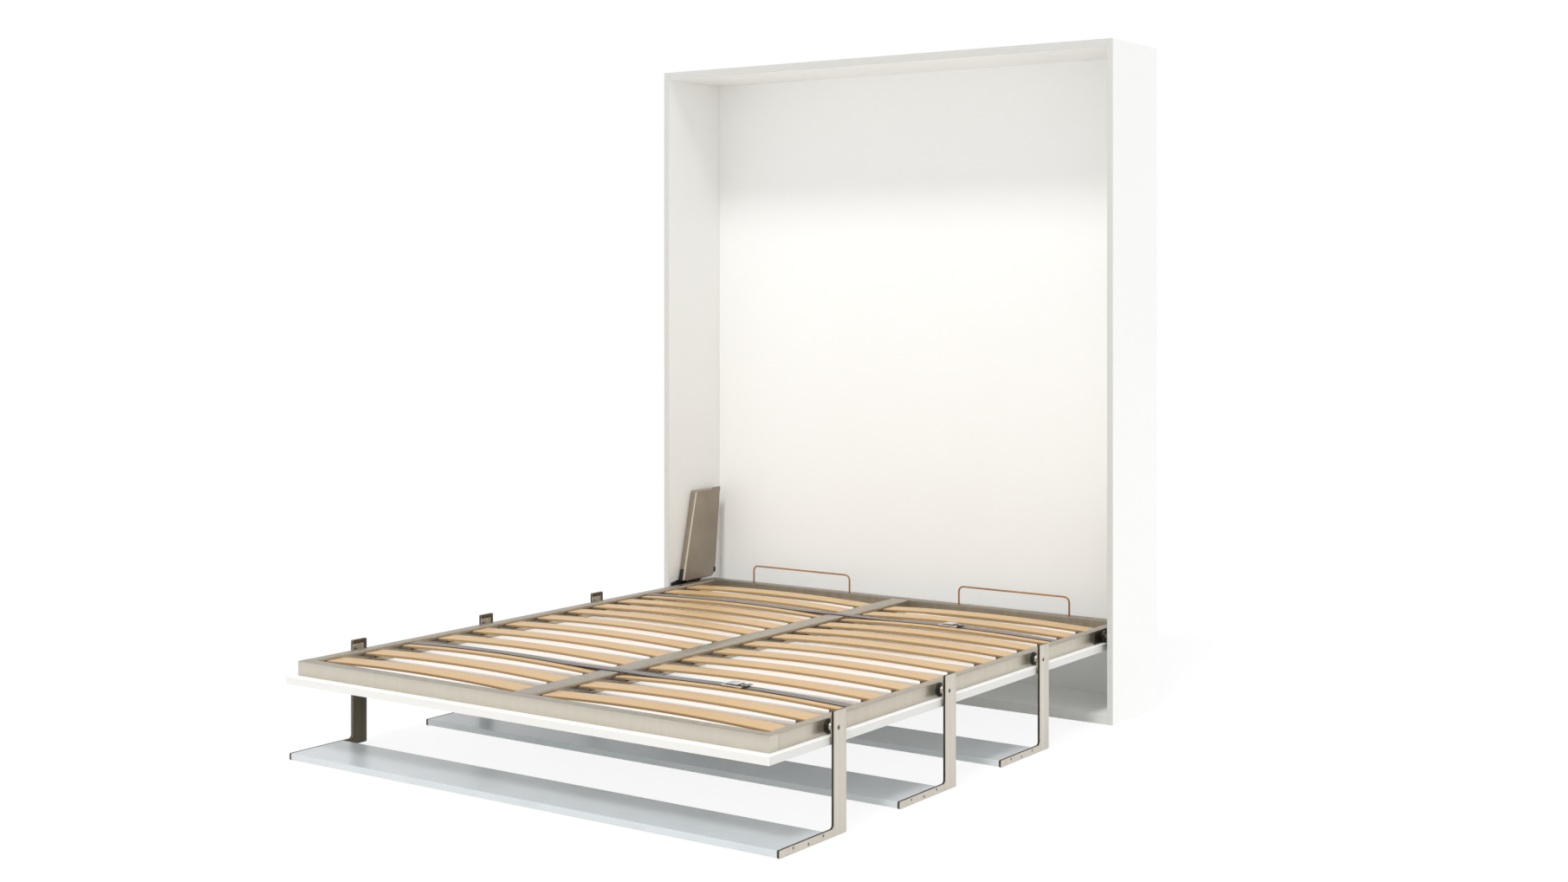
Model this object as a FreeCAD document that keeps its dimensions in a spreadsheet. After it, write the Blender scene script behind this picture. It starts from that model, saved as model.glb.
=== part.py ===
import FreeCAD, Part
import os
import re
import Sketcher

# A double wall bed in its opened state: a shallow cabinet that stands against
# the wall, a steel bed frame with a sprung slatted base that tilts up into it,
# and three shelves on L-shaped arms.  The shelves stay level while the bed
# tilts: they are the feet of the open bed and the shelves of the closed one.
#
# Frame: X to the right seen from the front, Y into the wall, Z up.  The origin
# is on the floor under the middle of the cabinet.  Millimetres and degrees.

doc = FreeCAD.newDocument("WallBed")

# ---------------------------------------------------------------- sizes

SIZES = {
    # steel bed frame, for a mattress of 1600 by 2000
    "FrameWidth": 1680,
    "FrameLength": 2010,
    "TubeHigh": 42,
    "TubeWall": 2,
    "SideTube": 32,
    "FootTube": 38,
    "HeadTube": 42,
    "BeamTube": 64,
    # main pivot, where the bed hangs in the cabinet
    "PivotHeight": 270,
    "HeadReach": 187,
    "PinRadius": 10,
    "TurnGap": 0.1,
    "RunGap": 0.3,
    # front panel under the frame
    "PanelThick": 22,
    "PanelSideLap": 18,
    "PanelFootLap": 29,
    "PanelHeadLap": 41,
    "PanelRecess": 1,
    "PanelTopGap": 11,
    # cabinet boards
    "CabinetDepth": 330,
    "SideThick": 20,
    "TopThick": 25,
    "BaseThick": 30,
    "BackThick": 18,
    "BoardRound": 1,
    "DowelRadius": 4,
    "DowelInSide": 12,
    "DowelInBoard": 24,
    "DowelInset": 60,
    "DowelGap": 0.2,
    # L-shaped shelf arms and shelves
    "PanelArmGap": 3,
    "FlangeThick": 3,
    "ArmThick": 8,
    "ArmWallGap": 5,
    "ArmWide": 57,
    "ArmFront": 21.5,
    "ArmRise": 44,
    "FootLong": 238,
    "FootHigh": 20,
    "ArmInnerRound": 10,
    "ArmCornerRound": 4,
    "ShelfLift": 2,
    "ShelfSetback": 59,
    "ShelfRound": 1.5,
    "NearShelfReach": 464,
    "FarShelfInset": 255,
    "ShelfScrewEnd": 59.5,
    "ShelfScrewPitch": 65.25,
    "ShelfScrewEdge": 6.5,
    "ShelfScrewDrop": 5.5,
    # shelf axles and the levelling linkage inside the side rails
    "JournalRadius": 8,
    "ShoulderRadius": 15,
    "StubRadius": 4,
    "FlangeHalf": 21,
    "BushFlange": 3,
    "BushGap": 2,
    "BushSleeve": 11,
    "BoltRadius": 4,
    "BoltHeadRadius": 7,
    "BoltHeadDeep": 4,
    "BoltGrip": 24,
    "CrankAngle": 45,
    "CrankGap": 2.5,
    "CrankRim": 1.5,
    "CrankThick": 3,
    "CrankInset": 10,
    "CrankPin": 3,
    "TieGap": 1,
    "TieThick": 4,
    "EyeGap": 0.5,
    # hinge and gas spring at each side
    "PlateThick": 3,
    "PlateLug": 22,
    "PlateScrewInset": 25,
    "BlockThick": 6,
    "BlockHalf": 30,
    "BlockHigh": 24,
    "BracketThick": 4,
    "BracketLong": 124,
    "BracketHigh": 34,
    "BossRadius": 17,
    "BossLong": 6,
    "LeverArm": 45,
    "LeverAngle": 20,
    "LeverEye": 9,
    "RodEye": 8,
    "StudLong": 2.5,
    "SpringLong": 325,
    "SpringRadius": 11,
    "SpringWall": 2,
    "SpringTubeLong": 215,
    "SpringNeck": 18,
    "SpringEyeThick": 10,
    "RodRadius": 4,
    "RodLong": 200,
    "PistonLong": 10,
    # mechanism cover, placed from the main pivot
    "CoverDeep": 28,
    "CoverSheet": 1.5,
    "CoverRound": 4,
    "CoverFootFront": 14,
    "CoverFootBack": 178,
    "CoverHeelBack": 199,
    "CoverFoot": 27,
    "CoverHeel": 40,
    "CoverTopFront": 91,
    "CoverTopStep": 178,
    "CoverTopBack": 231,
    "CoverTop": 351,
    "CoverStep": 8,
    "PlateInset": 4,
    "TrimWide": 8,
    "TrimThick": 1,
    "CapWide": 20,
    "CapHigh": 42,
    # slatted base
    "SlatWide": 71,
    "SlatThick": 8,
    "SlatFootGap": 36,
    "SlatHeadGap": 105,
    "SlatEndGap": 6,
    "SlatCrown": 10,
    "SlatAboveTop": 3,
    "SlatZone": 0.62,
    "HolderLong": 46,
    "HolderWall": 3,
    "HolderGap": 0.5,
    "HolderHigh": 8,
    # mattress straps and pillow hoops
    "StrapWide": 38,
    "StrapThick": 1.6,
    "StrapGap": 0.2,
    "StrapTuck": 2.4,
    "TuckDeep": 12,
    "FrontStrap": 423,
    "RearStrap": 431,
    "BuckleLong": 70,
    "BuckleWide": 46,
    "BuckleThick": 7,
    "BuckleBar": 5,
    "BuckleInset": 378,
    "HoopHigh": 65,
    "HoopSpan": 417,
    "HoopCentre": 432,
    "HoopWire": 3.5,
    "HoopBend": 18,
    "HoopSetback": 24,
    "HoopDeep": 14,
    # screws and wall brackets
    "ScrewRadius": 2,
    "ScrewGap": 0.2,
    "ScrewHead": 4.5,
    "ScrewHeadHigh": 2.5,
    "ScrewLong": 15,
    "PanelScrewShift": 127,
    "BracketScrewShift": 12,
    "WallBracketWide": 40,
    "WallBracketHigh": 36,
    "WallBracketThick": 2.5,
    "WallBoltPitch": 1200,
    "WallBoltRadius": 4.5,
    "WallBoltHigh": 22,
    # how far a cutting tool stands out past what it cuts
    "CutOver": 1,
}

# Places that follow from the sizes.  X values are those of the right-hand side.
PLACES = {
    "FrontY": "-CabinetDepth / 2",
    "BackY": "CabinetDepth / 2",
    "RailX": "FrameWidth / 2",
    "RailInX": "RailX - SideTube",
    "BeamX": "BeamTube / 2",
    "PanelX": "RailX + PanelSideLap",
    "FlangeX": "PanelX + PanelArmGap",
    "ArmX": "FlangeX + FlangeThick",
    "InnerX": "ArmX + ArmThick + ArmWallGap",
    "OuterX": "InnerX + SideThick",
    "FrameTop": "PivotHeight + TubeHigh / 2",
    "FrameLow": "PivotHeight - TubeHigh / 2",
    "PanelLow": "FrameLow - PanelThick",
    "PivotY": "FrontY + PivotHeight - PanelLow + PanelRecess",
    "HeadY": "PivotY + HeadReach",
    "FootY": "HeadY - FrameLength",
    "HeadInY": "HeadY - HeadTube",
    "FootInY": "FootY + FootTube",
    "PanelFoot": "FootY - PanelFootLap",
    "PanelHead": "HeadY + PanelHeadLap",
    "CabinetHigh": "PivotHeight + PivotY - PanelFoot + PanelTopGap + TopThick",
    "CeilingZ": "CabinetHigh - TopThick",
    "NearShelfY": "PivotY - NearShelfReach",
    "FarShelfY": "FootY + FarShelfInset",
    "ShelfThick": "FootHigh - ShelfLift",
    "ShelfScrewHigh": "FootHigh - ShelfScrewEdge",
    "ShelfScrewLow": "ShelfScrewHigh - ShelfScrewDrop",
    "BushRadius": "TubeHigh / 2 - BushGap",
    "CrankDisc": "TubeHigh / 2 - TubeWall - CrankGap",
    "CrankArm": "CrankDisc - CrankPin - CrankRim",
    "CrankY": "CrankArm * cos(CrankAngle)",
    "CrankZ": "CrankArm * sin(CrankAngle)",
    "CrankX": "RailX - CrankInset - CrankThick",
    "TieHigh": "2 * (CrankZ - StubRadius - TieGap)",
    "TieEye": "(CrankArm - StubRadius + CrankPin) / 2",
    "TieX": "CrankX - 2 * TieGap - TieThick",
    "PlateX": "InnerX - PlateThick",
    "BlockX": "PlateX - BlockThick",
    "BossX": "RailX + BracketThick",
    "LeverX": "BossX + BossLong",
    "StudX": "LeverX + BracketThick",
    "EyeX": "StudX + StudLong + EyeGap",
    "CoverX": "PlateX - CoverDeep",
    "LeverY": "PivotY + LeverArm * cos(LeverAngle)",
    "LeverZ": "PivotHeight + LeverArm * sin(LeverAngle)",
    "SpringTilt": "45 - LeverAngle",
    "AnchorY": "LeverY + SpringLong * sin(SpringTilt)",
    "AnchorZ": "LeverZ + SpringLong * cos(SpringTilt)",
    "CoverTilt": "atan2(CoverTopFront - CoverFootFront; CoverTop - CoverFoot)",
    "HeelTilt": "atan2(CoverTopBack - CoverHeelBack; CoverTop - CoverHeel)",
    "TrimY": "PivotY + CoverFootFront + CoverRound * tan(CoverTilt) - TrimThick / cos(CoverTilt)",
    "TrimZ": "PivotHeight + CoverFoot + CoverRound",
    "HeelY": "PivotY + CoverHeelBack + CoverRound * tan(HeelTilt)",
    "HeelZ": "PivotHeight + CoverHeel + CoverRound",
    "SlatLong": "RailInX - BeamX - 2 * SlatEndGap",
    "SlatMidX": "(RailInX + BeamX) / 2",
    "SlatRadius": "(SlatLong ^ 2 / 4 + SlatCrown ^ 2) / 2 / SlatCrown",
    "SlatFirstY": "FootInY + SlatFootGap",
    "SlatLastY": "HeadInY - SlatHeadGap - SlatWide",
    "StrapLow": "FrameTop + SlatAboveTop + StrapGap",
    "SlatEndTop": "FrameTop + SlatAboveTop - SlatCrown",
    "BuckleX": "RailX - BuckleInset - BuckleLong",
    "HoopTop": "FrameTop + HoopHigh - HoopWire",
    "HoopY": "HeadY - HoopSetback",
}

SLAT_ROWS = 13
WIDE_GAPS = 7
SHELVES = 3
FUNCTIONS = {"cos", "sin", "tan", "atan2"}

sheet = doc.addObject("Spreadsheet::Sheet", "Size")
for row, (word, value) in enumerate(SIZES.items(), start=1):
    sheet.set(f"A{row}", str(value))
    sheet.setAlias(f"A{row}", word)


def term(formula):
    """Spell a formula out: a size is a cell of Size, a place is a value of Place."""
    def owned(match):
        word = match.group(0)
        if word in FUNCTIONS:
            return word
        if word in SIZES:
            return "Size." + word
        if word in PLACES:
            return "Place." + word
        raise KeyError(f"{word} is neither a size nor a place")
    return re.sub(r"[A-Za-z]\w*", owned, str(formula))


doc.recompute()
places = doc.addObject("App::VarSet", "Place")
probe = doc.addObject("App::VarSet", "Probe")
probe.addProperty("App::PropertyFloat", "Value", "Probe")
for word, formula in PLACES.items():
    places.addProperty("App::PropertyFloat", word, "Places")
    places.setExpression(word, term(formula))
doc.recompute()


def number(formula):
    """The present value of a formula, for the first guess of a sketch."""
    probe.setExpression("Value", term(formula))
    probe.recompute()
    return probe.Value


# ---------------------------------------------------------------- builders

TURNS = {
    "X": FreeCAD.Rotation(FreeCAD.Vector(0, 1, 0), 90),
    "Y": FreeCAD.Rotation(FreeCAD.Vector(1, 0, 0), -90),
    "Z": FreeCAD.Rotation(),
}
LEAN = FreeCAD.Vector(-1, 0, 0)  # an upright piece leans towards +Y
RISE = FreeCAD.Vector(1, 0, 0)  # a level piece rises towards +Y
NEAR = 0.01
nodes = []


def bind(thing, **formulas):
    """Tie properties of an object to formulas."""
    for name, formula in formulas.items():
        thing.setExpression(name, term(formula))
    return thing


def place(thing, at, lean=None, way=LEAN):
    """Tie an object's position to three formulas, and its turn about X to a fourth."""
    if lean is not None:
        # any angle but zero: only a turned object remembers the way it turns
        thing.Placement.Rotation = FreeCAD.Rotation(way, 10)
        thing.setExpression("Placement.Rotation.Angle", term(lean))
    for axis, formula in zip("xyz", at):
        thing.setExpression("Placement.Base." + axis, term(formula))
    return thing


def box(name, size, at):
    """A block from three lengths and the place of its lowest corner."""
    block = doc.addObject("Part::Box", name)
    bind(block, Length=size[0], Width=size[1], Height=size[2])
    return place(block, at)


def rod(name, radius, length, at, along="X"):
    """A round bar that starts at a place and runs along an axis."""
    bar = doc.addObject("Part::Cylinder", name)
    bind(bar, Radius=radius, Height=length)
    bar.Placement = FreeCAD.Placement(FreeCAD.Vector(), TURNS[along])
    return place(bar, at)


def taper(name, radii, length, at, along="X"):
    """A cone from the first radius to the second, for a countersunk head."""
    cone = doc.addObject("Part::Cone", name)
    bind(cone, Radius1=radii[0], Radius2=radii[1], Height=length)
    cone.Placement = FreeCAD.Placement(FreeCAD.Vector(), TURNS[along])
    return place(cone, at)


def fuse(name, pieces):
    """One solid from pieces that overlap or touch."""
    union = doc.addObject("Part::MultiFuse", name)
    union.Shapes = pieces
    union.Refine = True
    return union


def group(name, pieces):
    """Separate solids that share one name."""
    compound = doc.addObject("Part::Compound", name)
    compound.Links = pieces
    return compound


def cut(name, base, tools):
    """A base with one or more tools taken away."""
    remainder = doc.addObject("Part::Cut", name)
    remainder.Base = base
    remainder.Tool = tools[0] if len(tools) == 1 else group(name + "_tools", tools)
    return remainder


def mirror(name, thing):
    """The left-hand twin of a right-hand piece."""
    twin = doc.addObject("Part::Mirroring", name)
    twin.Source = thing
    twin.Normal = FreeCAD.Vector(1, 0, 0)
    return twin


def both(name, pieces):
    """Right-hand pieces and their left-hand twins as one node."""
    right = group(name + "_right_side", pieces)
    return group(name, [right, mirror(name + "_left_side", right)])


def board(name, size, at, rounding):
    """A board with all its edges eased."""
    body = doc.addObject("PartDesign::Body", name)
    form = body.newObject("PartDesign::AdditiveBox", name + "_block")
    bind(form, Length=size[0], Width=size[1], Height=size[2])
    doc.recompute()
    easing = body.newObject("PartDesign::Fillet", name + "_easing")
    easing.Base = (form, [""])
    easing.UseAllEdges = True
    bind(easing, Radius=rounding)
    return place(body, at)


def fix(sketch, kind, geometry, point, formula):
    """Tie one coordinate of a sketch point, or a radius, to a formula."""
    value = number(formula)
    if kind == "Radius":
        index = sketch.addConstraint(Sketcher.Constraint(kind, geometry, value))
    else:
        index = sketch.addConstraint(Sketcher.Constraint(kind, -1, 1, geometry, point, value))
    sketch.setExpression(f"Constraints[{index}]", term(formula))


def draw(sketch, corners):
    """A closed outline of straight lines; each corner is tied to two formulas."""
    points = [FreeCAD.Vector(number(u), number(v), 0) for u, v in corners]
    count = len(corners)
    for index in range(count):
        line = Part.LineSegment(points[index], points[(index + 1) % count])
        sketch.addGeometry(line, False)
    for index in range(count):
        following = (index + 1) % count
        sketch.addConstraint(Sketcher.Constraint("Coincident", index, 2, following, 1))
    for index, (u, v) in enumerate(corners):
        fix(sketch, "DistanceX", index, 1, u)
        fix(sketch, "DistanceY", index, 1, v)


def plane_sketch(body, name, role):
    """An empty sketch on one of the body's own origin planes."""
    sketch = body.newObject("Sketcher::SketchObject", name)
    plane = [item for item in body.Origin.OriginFeatures if item.Role == role][0]
    sketch.AttachmentSupport = [(plane, "")]
    sketch.MapMode = "FlatFace"
    return sketch


def sheet_form(name, corners, thickness, at):
    """A plate: an outline in Y and Z, padded towards +X."""
    body = doc.addObject("PartDesign::Body", name)
    sketch = plane_sketch(body, name + "_outline", "YZ_Plane")
    draw(sketch, corners)
    pad = body.newObject("PartDesign::Pad", name + "_pad")
    pad.Profile = sketch
    bind(pad, Length=thickness)
    place(body, at)
    doc.recompute()
    return body


def edges_near(feature, corners):
    """Names of the edges along X that stand at the given outline corners."""
    spots = [(number(u), number(v)) for u, v in corners]
    names = []
    for index, edge in enumerate(feature.Shape.Edges, start=1):
        ends = [vertex.Point for vertex in edge.Vertexes]
        along_x = abs(ends[0].y - ends[-1].y) < NEAR and abs(ends[0].z - ends[-1].z) < NEAR
        at_spot = any(abs(ends[0].y - u) < NEAR and abs(ends[0].z - v) < NEAR for u, v in spots)
        if along_x and at_spot:
            names.append(f"Edge{index}")
    return names


def round_corners(body, name, corners, radius):
    """Round the outline corners of a plate with one radius."""
    base = body.Tip
    feature = body.newObject("PartDesign::Fillet", name)
    feature.Base = (base, edges_near(base, corners))
    bind(feature, Radius=radius)
    doc.recompute()


def keep(thing):
    """Count an object as one of the part's nodes; its label names its file."""
    nodes.append(thing)
    return thing


def keep_pair(name, right):
    """Keep a right-hand piece and its left-hand twin as two nodes."""
    right.Label = name + "_right"
    keep(right)
    keep(mirror(name + "_left", right))


# ---------------------------------------------------------------- screws

def screw(name, at, along, length, towards=1):
    """A pan-head wood screw.  Its head stands before the place, its shank after it."""
    head_at = list(at)
    shank_at = list(at)
    axis = "XYZ".index(along)
    if towards > 0:
        head_at[axis] = f"{at[axis]} - ScrewHeadHigh"
    else:
        shank_at[axis] = f"{at[axis]} - ({length})"
    head = rod(name + "_head", "ScrewHead", "ScrewHeadHigh", head_at, along)
    shank = rod(name + "_shank", "ScrewRadius", length, shank_at, along)
    return fuse(name, [head, shank])


def screw_bore(name, at, along, length, towards=1):
    """The pilot bore of such a screw, a little wider and deeper than its shank."""
    start = list(at)
    axis = "XYZ".index(along)
    if towards > 0:
        start[axis] = f"{at[axis]} - ScrewGap"
    else:
        start[axis] = f"{at[axis]} - ({length}) - ScrewGap"
    return rod(name, "ScrewRadius + ScrewGap", f"{length} + 2 * ScrewGap", start, along)


# ---------------------------------------------------------------- cabinet

def dowel_places():
    """Y and Z of the four dowels between one side board, the top and the base."""
    depths = ("FrontY + DowelInset", "BackY - DowelInset")
    heights = ("BaseThick / 2", "CabinetHigh - TopThick / 2")
    return [(y, z) for z in heights for y in depths]


def plate_screw_places():
    """Y and Z of the screws that hold one mechanism plate to the side board."""
    return [
        ("PivotY - BlockHalf / 2", "PivotHeight - BlockHigh - PlateLug / 2"),
        ("PivotY + CoverFootBack - PlateScrewInset", "PivotHeight + CoverHeel + PlateScrewInset"),
        ("PivotY + CoverTopFront + PlateScrewInset", "PivotHeight + CoverTop - PlateScrewInset"),
        ("PivotY + CoverTopBack - PlateScrewInset", "PivotHeight + CoverTop - 2 * PlateScrewInset"),
    ]


def cabinet():
    """Five boards that are dowelled together."""
    dowels = []
    bores = []
    for index, (y, z) in enumerate(dowel_places(), start=1):
        long = "DowelInSide + DowelInBoard"
        dowels.append(rod(f"dowel_{index}", "DowelRadius", long, ("InnerX - DowelInBoard", y, z)))
        start = ("InnerX - DowelInBoard - DowelGap", y, z)
        wider = "DowelRadius + DowelGap"
        bores.append(rod(f"dowel_bore_{index}", wider, long + " + 2 * DowelGap", start))
    keep(both("cabinet_dowels", dowels))
    right_bores = group("dowel_bores_right", bores)
    left_bores = mirror("dowel_bores_left", right_bores)

    pilots = []
    for index, (y, z) in enumerate(plate_screw_places(), start=1):
        pilot_at = ("InnerX", y, z)
        pilots.append(screw_bore(f"plate_pilot_{index}", pilot_at, "X", "ScrewLong - PlateThick"))
    side_size = ("SideThick", "CabinetDepth", "CabinetHigh")
    side = board("side_board", side_size, ("InnerX", "FrontY", "0"), "BoardRound")
    keep_pair("cabinet_side", cut("cabinet_side_bored", side, [right_bores] + pilots))

    across = ("2 * InnerX", "CabinetDepth")
    base = board("base_board", across + ("BaseThick",), ("-InnerX", "FrontY", "0"), "BoardRound")
    keep(cut("cabinet_bottom", base, [right_bores, left_bores]))
    top = board("top_board", across + ("TopThick",), ("-InnerX", "FrontY", "CeilingZ"), "BoardRound")
    depth = "ScrewLong - WallBracketThick"
    lid_bores = [
        screw_bore(f"bracket_pilot_{index}", (x, y, "CabinetHigh"), "Z", depth, -1)
        for index, (x, y) in enumerate(bracket_screw_places(), start=1)
    ]
    keep(cut("cabinet_top", top, [right_bores, left_bores] + lid_bores))
    back_size = ("2 * InnerX", "BackThick", "CeilingZ - BaseThick")
    back_at = ("-InnerX", "BackY - BackThick", "BaseThick")
    keep(board("cabinet_back", back_size, back_at, "BoardRound / 2"))


def bracket_screw_places():
    """X and Y of the screws that hold the two wall brackets to the top board."""
    return [
        (f"{side} WallBoltPitch / 2 {shift} BracketScrewShift", "BackY - WallBracketWide / 2")
        for side in ("-", "0 +") for shift in ("-", "+")
    ]


def wall_brackets():
    """Two steel angles on the top board that are bolted to the wall."""
    low = box(
        "bracket_base",
        ("WallBracketWide", "WallBracketWide", "WallBracketThick"),
        ("WallBoltPitch / 2 - WallBracketWide / 2", "BackY - WallBracketWide", "CabinetHigh"),
    )
    upright = box(
        "bracket_upright",
        ("WallBracketWide", "WallBracketThick", "WallBracketHigh"),
        ("WallBoltPitch / 2 - WallBracketWide / 2", "BackY - WallBracketThick", "CabinetHigh"),
    )
    angle = fuse("bracket_angle", [low, upright])
    hole_at = ("WallBoltPitch / 2", "BackY - 2 * WallBracketThick", "CabinetHigh + WallBoltHigh")
    hole = rod("wall_bolt_hole", "WallBoltRadius", "4 * WallBracketThick", hole_at, "Y")
    pilots = []
    for index, (x, y) in enumerate(bracket_screw_places()[2:], start=1):
        top = (x, y, "CabinetHigh + WallBracketThick")
        pilots.append(screw_bore(f"bracket_bore_{index}", top, "Z", "WallBracketThick", -1))
    bracket = cut("wall_bracket", angle, [hole] + pilots)
    keep(both("wall_brackets", [bracket]))


# ---------------------------------------------------------------- mechanism on the cabinet

def cover_corners(inset="0"):
    """The cover's outline around the main pivot, drawn in by an inset."""
    return [
        (f"CoverFootFront + {inset}", f"CoverFoot + {inset}"),
        ("CoverFootBack", f"CoverFoot + {inset}"),
        (f"CoverHeelBack - {inset}", f"CoverHeel + {inset}"),
        (f"CoverTopBack - {inset}", f"CoverTop - {inset}"),
        (f"CoverTopStep + {inset}", f"CoverTop + CoverStep - {inset}"),
        ("CoverTopStep", f"CoverTop - {inset}"),
        (f"CoverTopFront + {inset}", f"CoverTop - {inset}"),
    ]


def mechanism_plates():
    """A steel plate on each side board; it carries the pivot and the spring's anchor."""
    corners = [
        ("-BlockHalf", "-BlockHigh - PlateLug"),
        ("BlockHalf", "-BlockHigh - PlateLug"),
        ("CoverFootBack - PlateInset", "CoverFoot + PlateInset"),
        ("CoverTopBack - CoverSheet - PlateInset", "CoverTop - CoverSheet - PlateInset"),
        ("CoverTopFront + CoverSheet + PlateInset", "CoverTop - CoverSheet - PlateInset"),
        ("CoverFootFront + PlateInset", "CoverFoot + PlateInset"),
        ("-BlockHalf", "BlockHigh"),
    ]
    plate = sheet_form("plate_form", corners, "PlateThick", ("PlateX", "PivotY", "PivotHeight"))
    holes = [
        screw_bore(f"plate_hole_{index}", ("PlateX", y, z), "X", "PlateThick")
        for index, (y, z) in enumerate(plate_screw_places(), start=1)
    ]
    keep_pair("mechanism_plate", cut("plate_bored", plate, holes))


def bearing_blocks():
    """Black plastic blocks that hold the main pivot pins."""
    size = ("BlockThick", "2 * BlockHalf", "2 * BlockHigh")
    at = ("BlockX", "PivotY - BlockHalf", "PivotHeight - BlockHigh")
    block = board("bearing_block_form", size, at, "BlockThick / 4")
    start = ("BlockX - TurnGap", "PivotY", "PivotHeight")
    bore = rod("bearing_bore", "PinRadius + TurnGap", "BlockThick + 2 * TurnGap", start)
    keep(both("bearing_blocks", [cut("bearing_block", block, [bore])]))


def pivot_pins():
    """The fixed pins that the bed turns on, each with the linkage's fixed crank."""
    pin = rod("pin_shaft", "PinRadius", "PlateX - CrankX", ("CrankX", "PivotY", "PivotHeight"))
    disc = rod("pin_disc", "CrankDisc", "CrankThick", ("CrankX", "PivotY", "PivotHeight"))
    keep(both("main_pivot_pins", [fuse("pivot_pin", [pin, disc, crank_pin("fixed_crank", "PivotY")])]))


def crank_pin(name, y):
    """The small pin that stands out of a crank disc and enters the tie rod's eye."""
    at = ("TieX - EyeGap", f"{y} + CrankY", "PivotHeight + CrankZ")
    return rod(name, "CrankPin", "CrankX - TieX + 2 * EyeGap", at)


def lean_spring(piece):
    """Lean a gas spring's piece, made upright from the lower eye, towards its anchor."""
    return place(piece, ("EyeX", "LeverY", "LeverZ"), "SpringTilt")


def gas_springs():
    """Cylinders that hang from the plates, with their rods at the levers below."""
    middle = "SpringEyeThick / 2"
    tube_low = "SpringLong - SpringNeck - SpringTubeLong"
    tube = rod("spring_tube", "SpringRadius", "SpringTubeLong", (middle, "0", tube_low), "Z")
    bore = rod(
        "spring_bore",
        "SpringRadius - SpringWall",
        "SpringTubeLong - 6 * SpringWall",
        (middle, "0", tube_low + " + 4 * SpringWall"),
        "Z",
    )
    gland_at = (middle, "0", tube_low + " - CutOver")
    gland = rod("spring_gland", "RodRadius + TurnGap", "6 * SpringWall", gland_at, "Z")
    hollow = cut("spring_hollow", tube, [bore, gland])
    neck_at = (middle, "0", "SpringLong - SpringNeck")
    neck = rod("spring_neck", "RodRadius + SpringWall / 2", "SpringNeck", neck_at, "Z")
    eye = rod("spring_top_eye", "LeverEye", "SpringEyeThick", ("0", "0", "SpringLong"))
    solid_end = fuse("spring_end", [neck, eye])
    long = "SpringEyeThick + 2 * CutOver"
    hole = rod("spring_top_hole", "BoltRadius + TurnGap", long, ("-CutOver", "0", "SpringLong"))
    drilled = cut("spring_end_drilled", solid_end, [hole])
    keep_pair("gas_spring_cylinder", lean_spring(fuse("spring_cylinder", [hollow, drilled])))

    stem_low = "BoltRadius + SpringWall"
    stem = rod("rod_stem", "RodRadius", f"RodLong - ({stem_low})", (middle, "0", stem_low), "Z")
    piston_at = (middle, "0", "RodLong - PistonLong")
    piston = rod("rod_piston", "SpringRadius - SpringWall - TurnGap", "PistonLong", piston_at, "Z")
    rod_eye = rod("rod_eye", "RodEye", "SpringEyeThick", ("0", "0", "0"))
    body = fuse("rod_body", [stem, piston, rod_eye])
    rod_hole = rod("rod_hole", "BoltRadius + TurnGap", long, ("-CutOver", "0", "0"))
    keep_pair("gas_spring_rod", lean_spring(cut("rod_drilled", body, [rod_hole])))


def mechanism_covers():
    """Folded sheet covers over the gas springs, open towards the floor and the side board."""
    at = ("CoverX", "PivotY", "PivotHeight")
    corners = cover_corners()
    cover = sheet_form("cover_form", corners, "CoverDeep", at)
    rounded = [corners[0], corners[2], corners[3], corners[6]]
    round_corners(cover, "cover_rounds", rounded, "CoverRound")
    hollow_at = ("CoverX + CoverSheet",) + at[1:]
    hollow = sheet_form("cover_hollow", cover_hollow_corners(), "CoverDeep", hollow_at)
    keep_pair("mechanism_cover", cut("cover_shell", cover, [hollow]))


def cover_hollow_corners():
    """The space inside the cover; it runs out through the open underside."""
    return [
        ("CoverFootFront + CoverSheet", "CoverFoot - 3 * CoverSheet"),
        ("CoverHeelBack - 3 * CoverSheet", "CoverFoot - 3 * CoverSheet"),
        ("CoverHeelBack - CoverSheet", "CoverHeel + CoverSheet"),
        ("CoverTopBack - CoverSheet", "CoverTop - CoverSheet"),
        ("CoverTopFront + CoverSheet", "CoverTop - CoverSheet"),
    ]


def cover_trim():
    """A pale metal strip round each cover's front corner, and its black end caps."""
    long = "(CoverTop - CoverFoot - 2 * CoverRound) / cos(CoverTilt)"
    outer = box("trim_outer", ("TrimWide", "TrimWide", long), ("0", "0", "0"))
    notch_at = ("TrimThick", "TrimThick", "-CutOver")
    notch = box("trim_notch", ("TrimWide", "TrimWide", f"{long} + 2 * CutOver"), notch_at)
    strip_at = ("CoverX - TrimThick", "TrimY", "TrimZ")
    strip = place(cut("trim_strip", outer, [notch]), strip_at, "CoverTilt")
    keep(both("cover_edge_strips", [group("trim_piece", [strip])]))

    cap_size = ("CapWide", "TrimThick", "CapHigh")
    cap_x = "PlateX - CapWide"
    front = place(box("cap_front", cap_size, ("0", "0", "0")), (cap_x, "TrimY", "TrimZ"), "CoverTilt")
    back = place(box("cap_back", cap_size, ("0", "0", "0")), (cap_x, "HeelY", "HeelZ"), "HeelTilt")
    keep(both("cover_end_caps", [front, back]))


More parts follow.
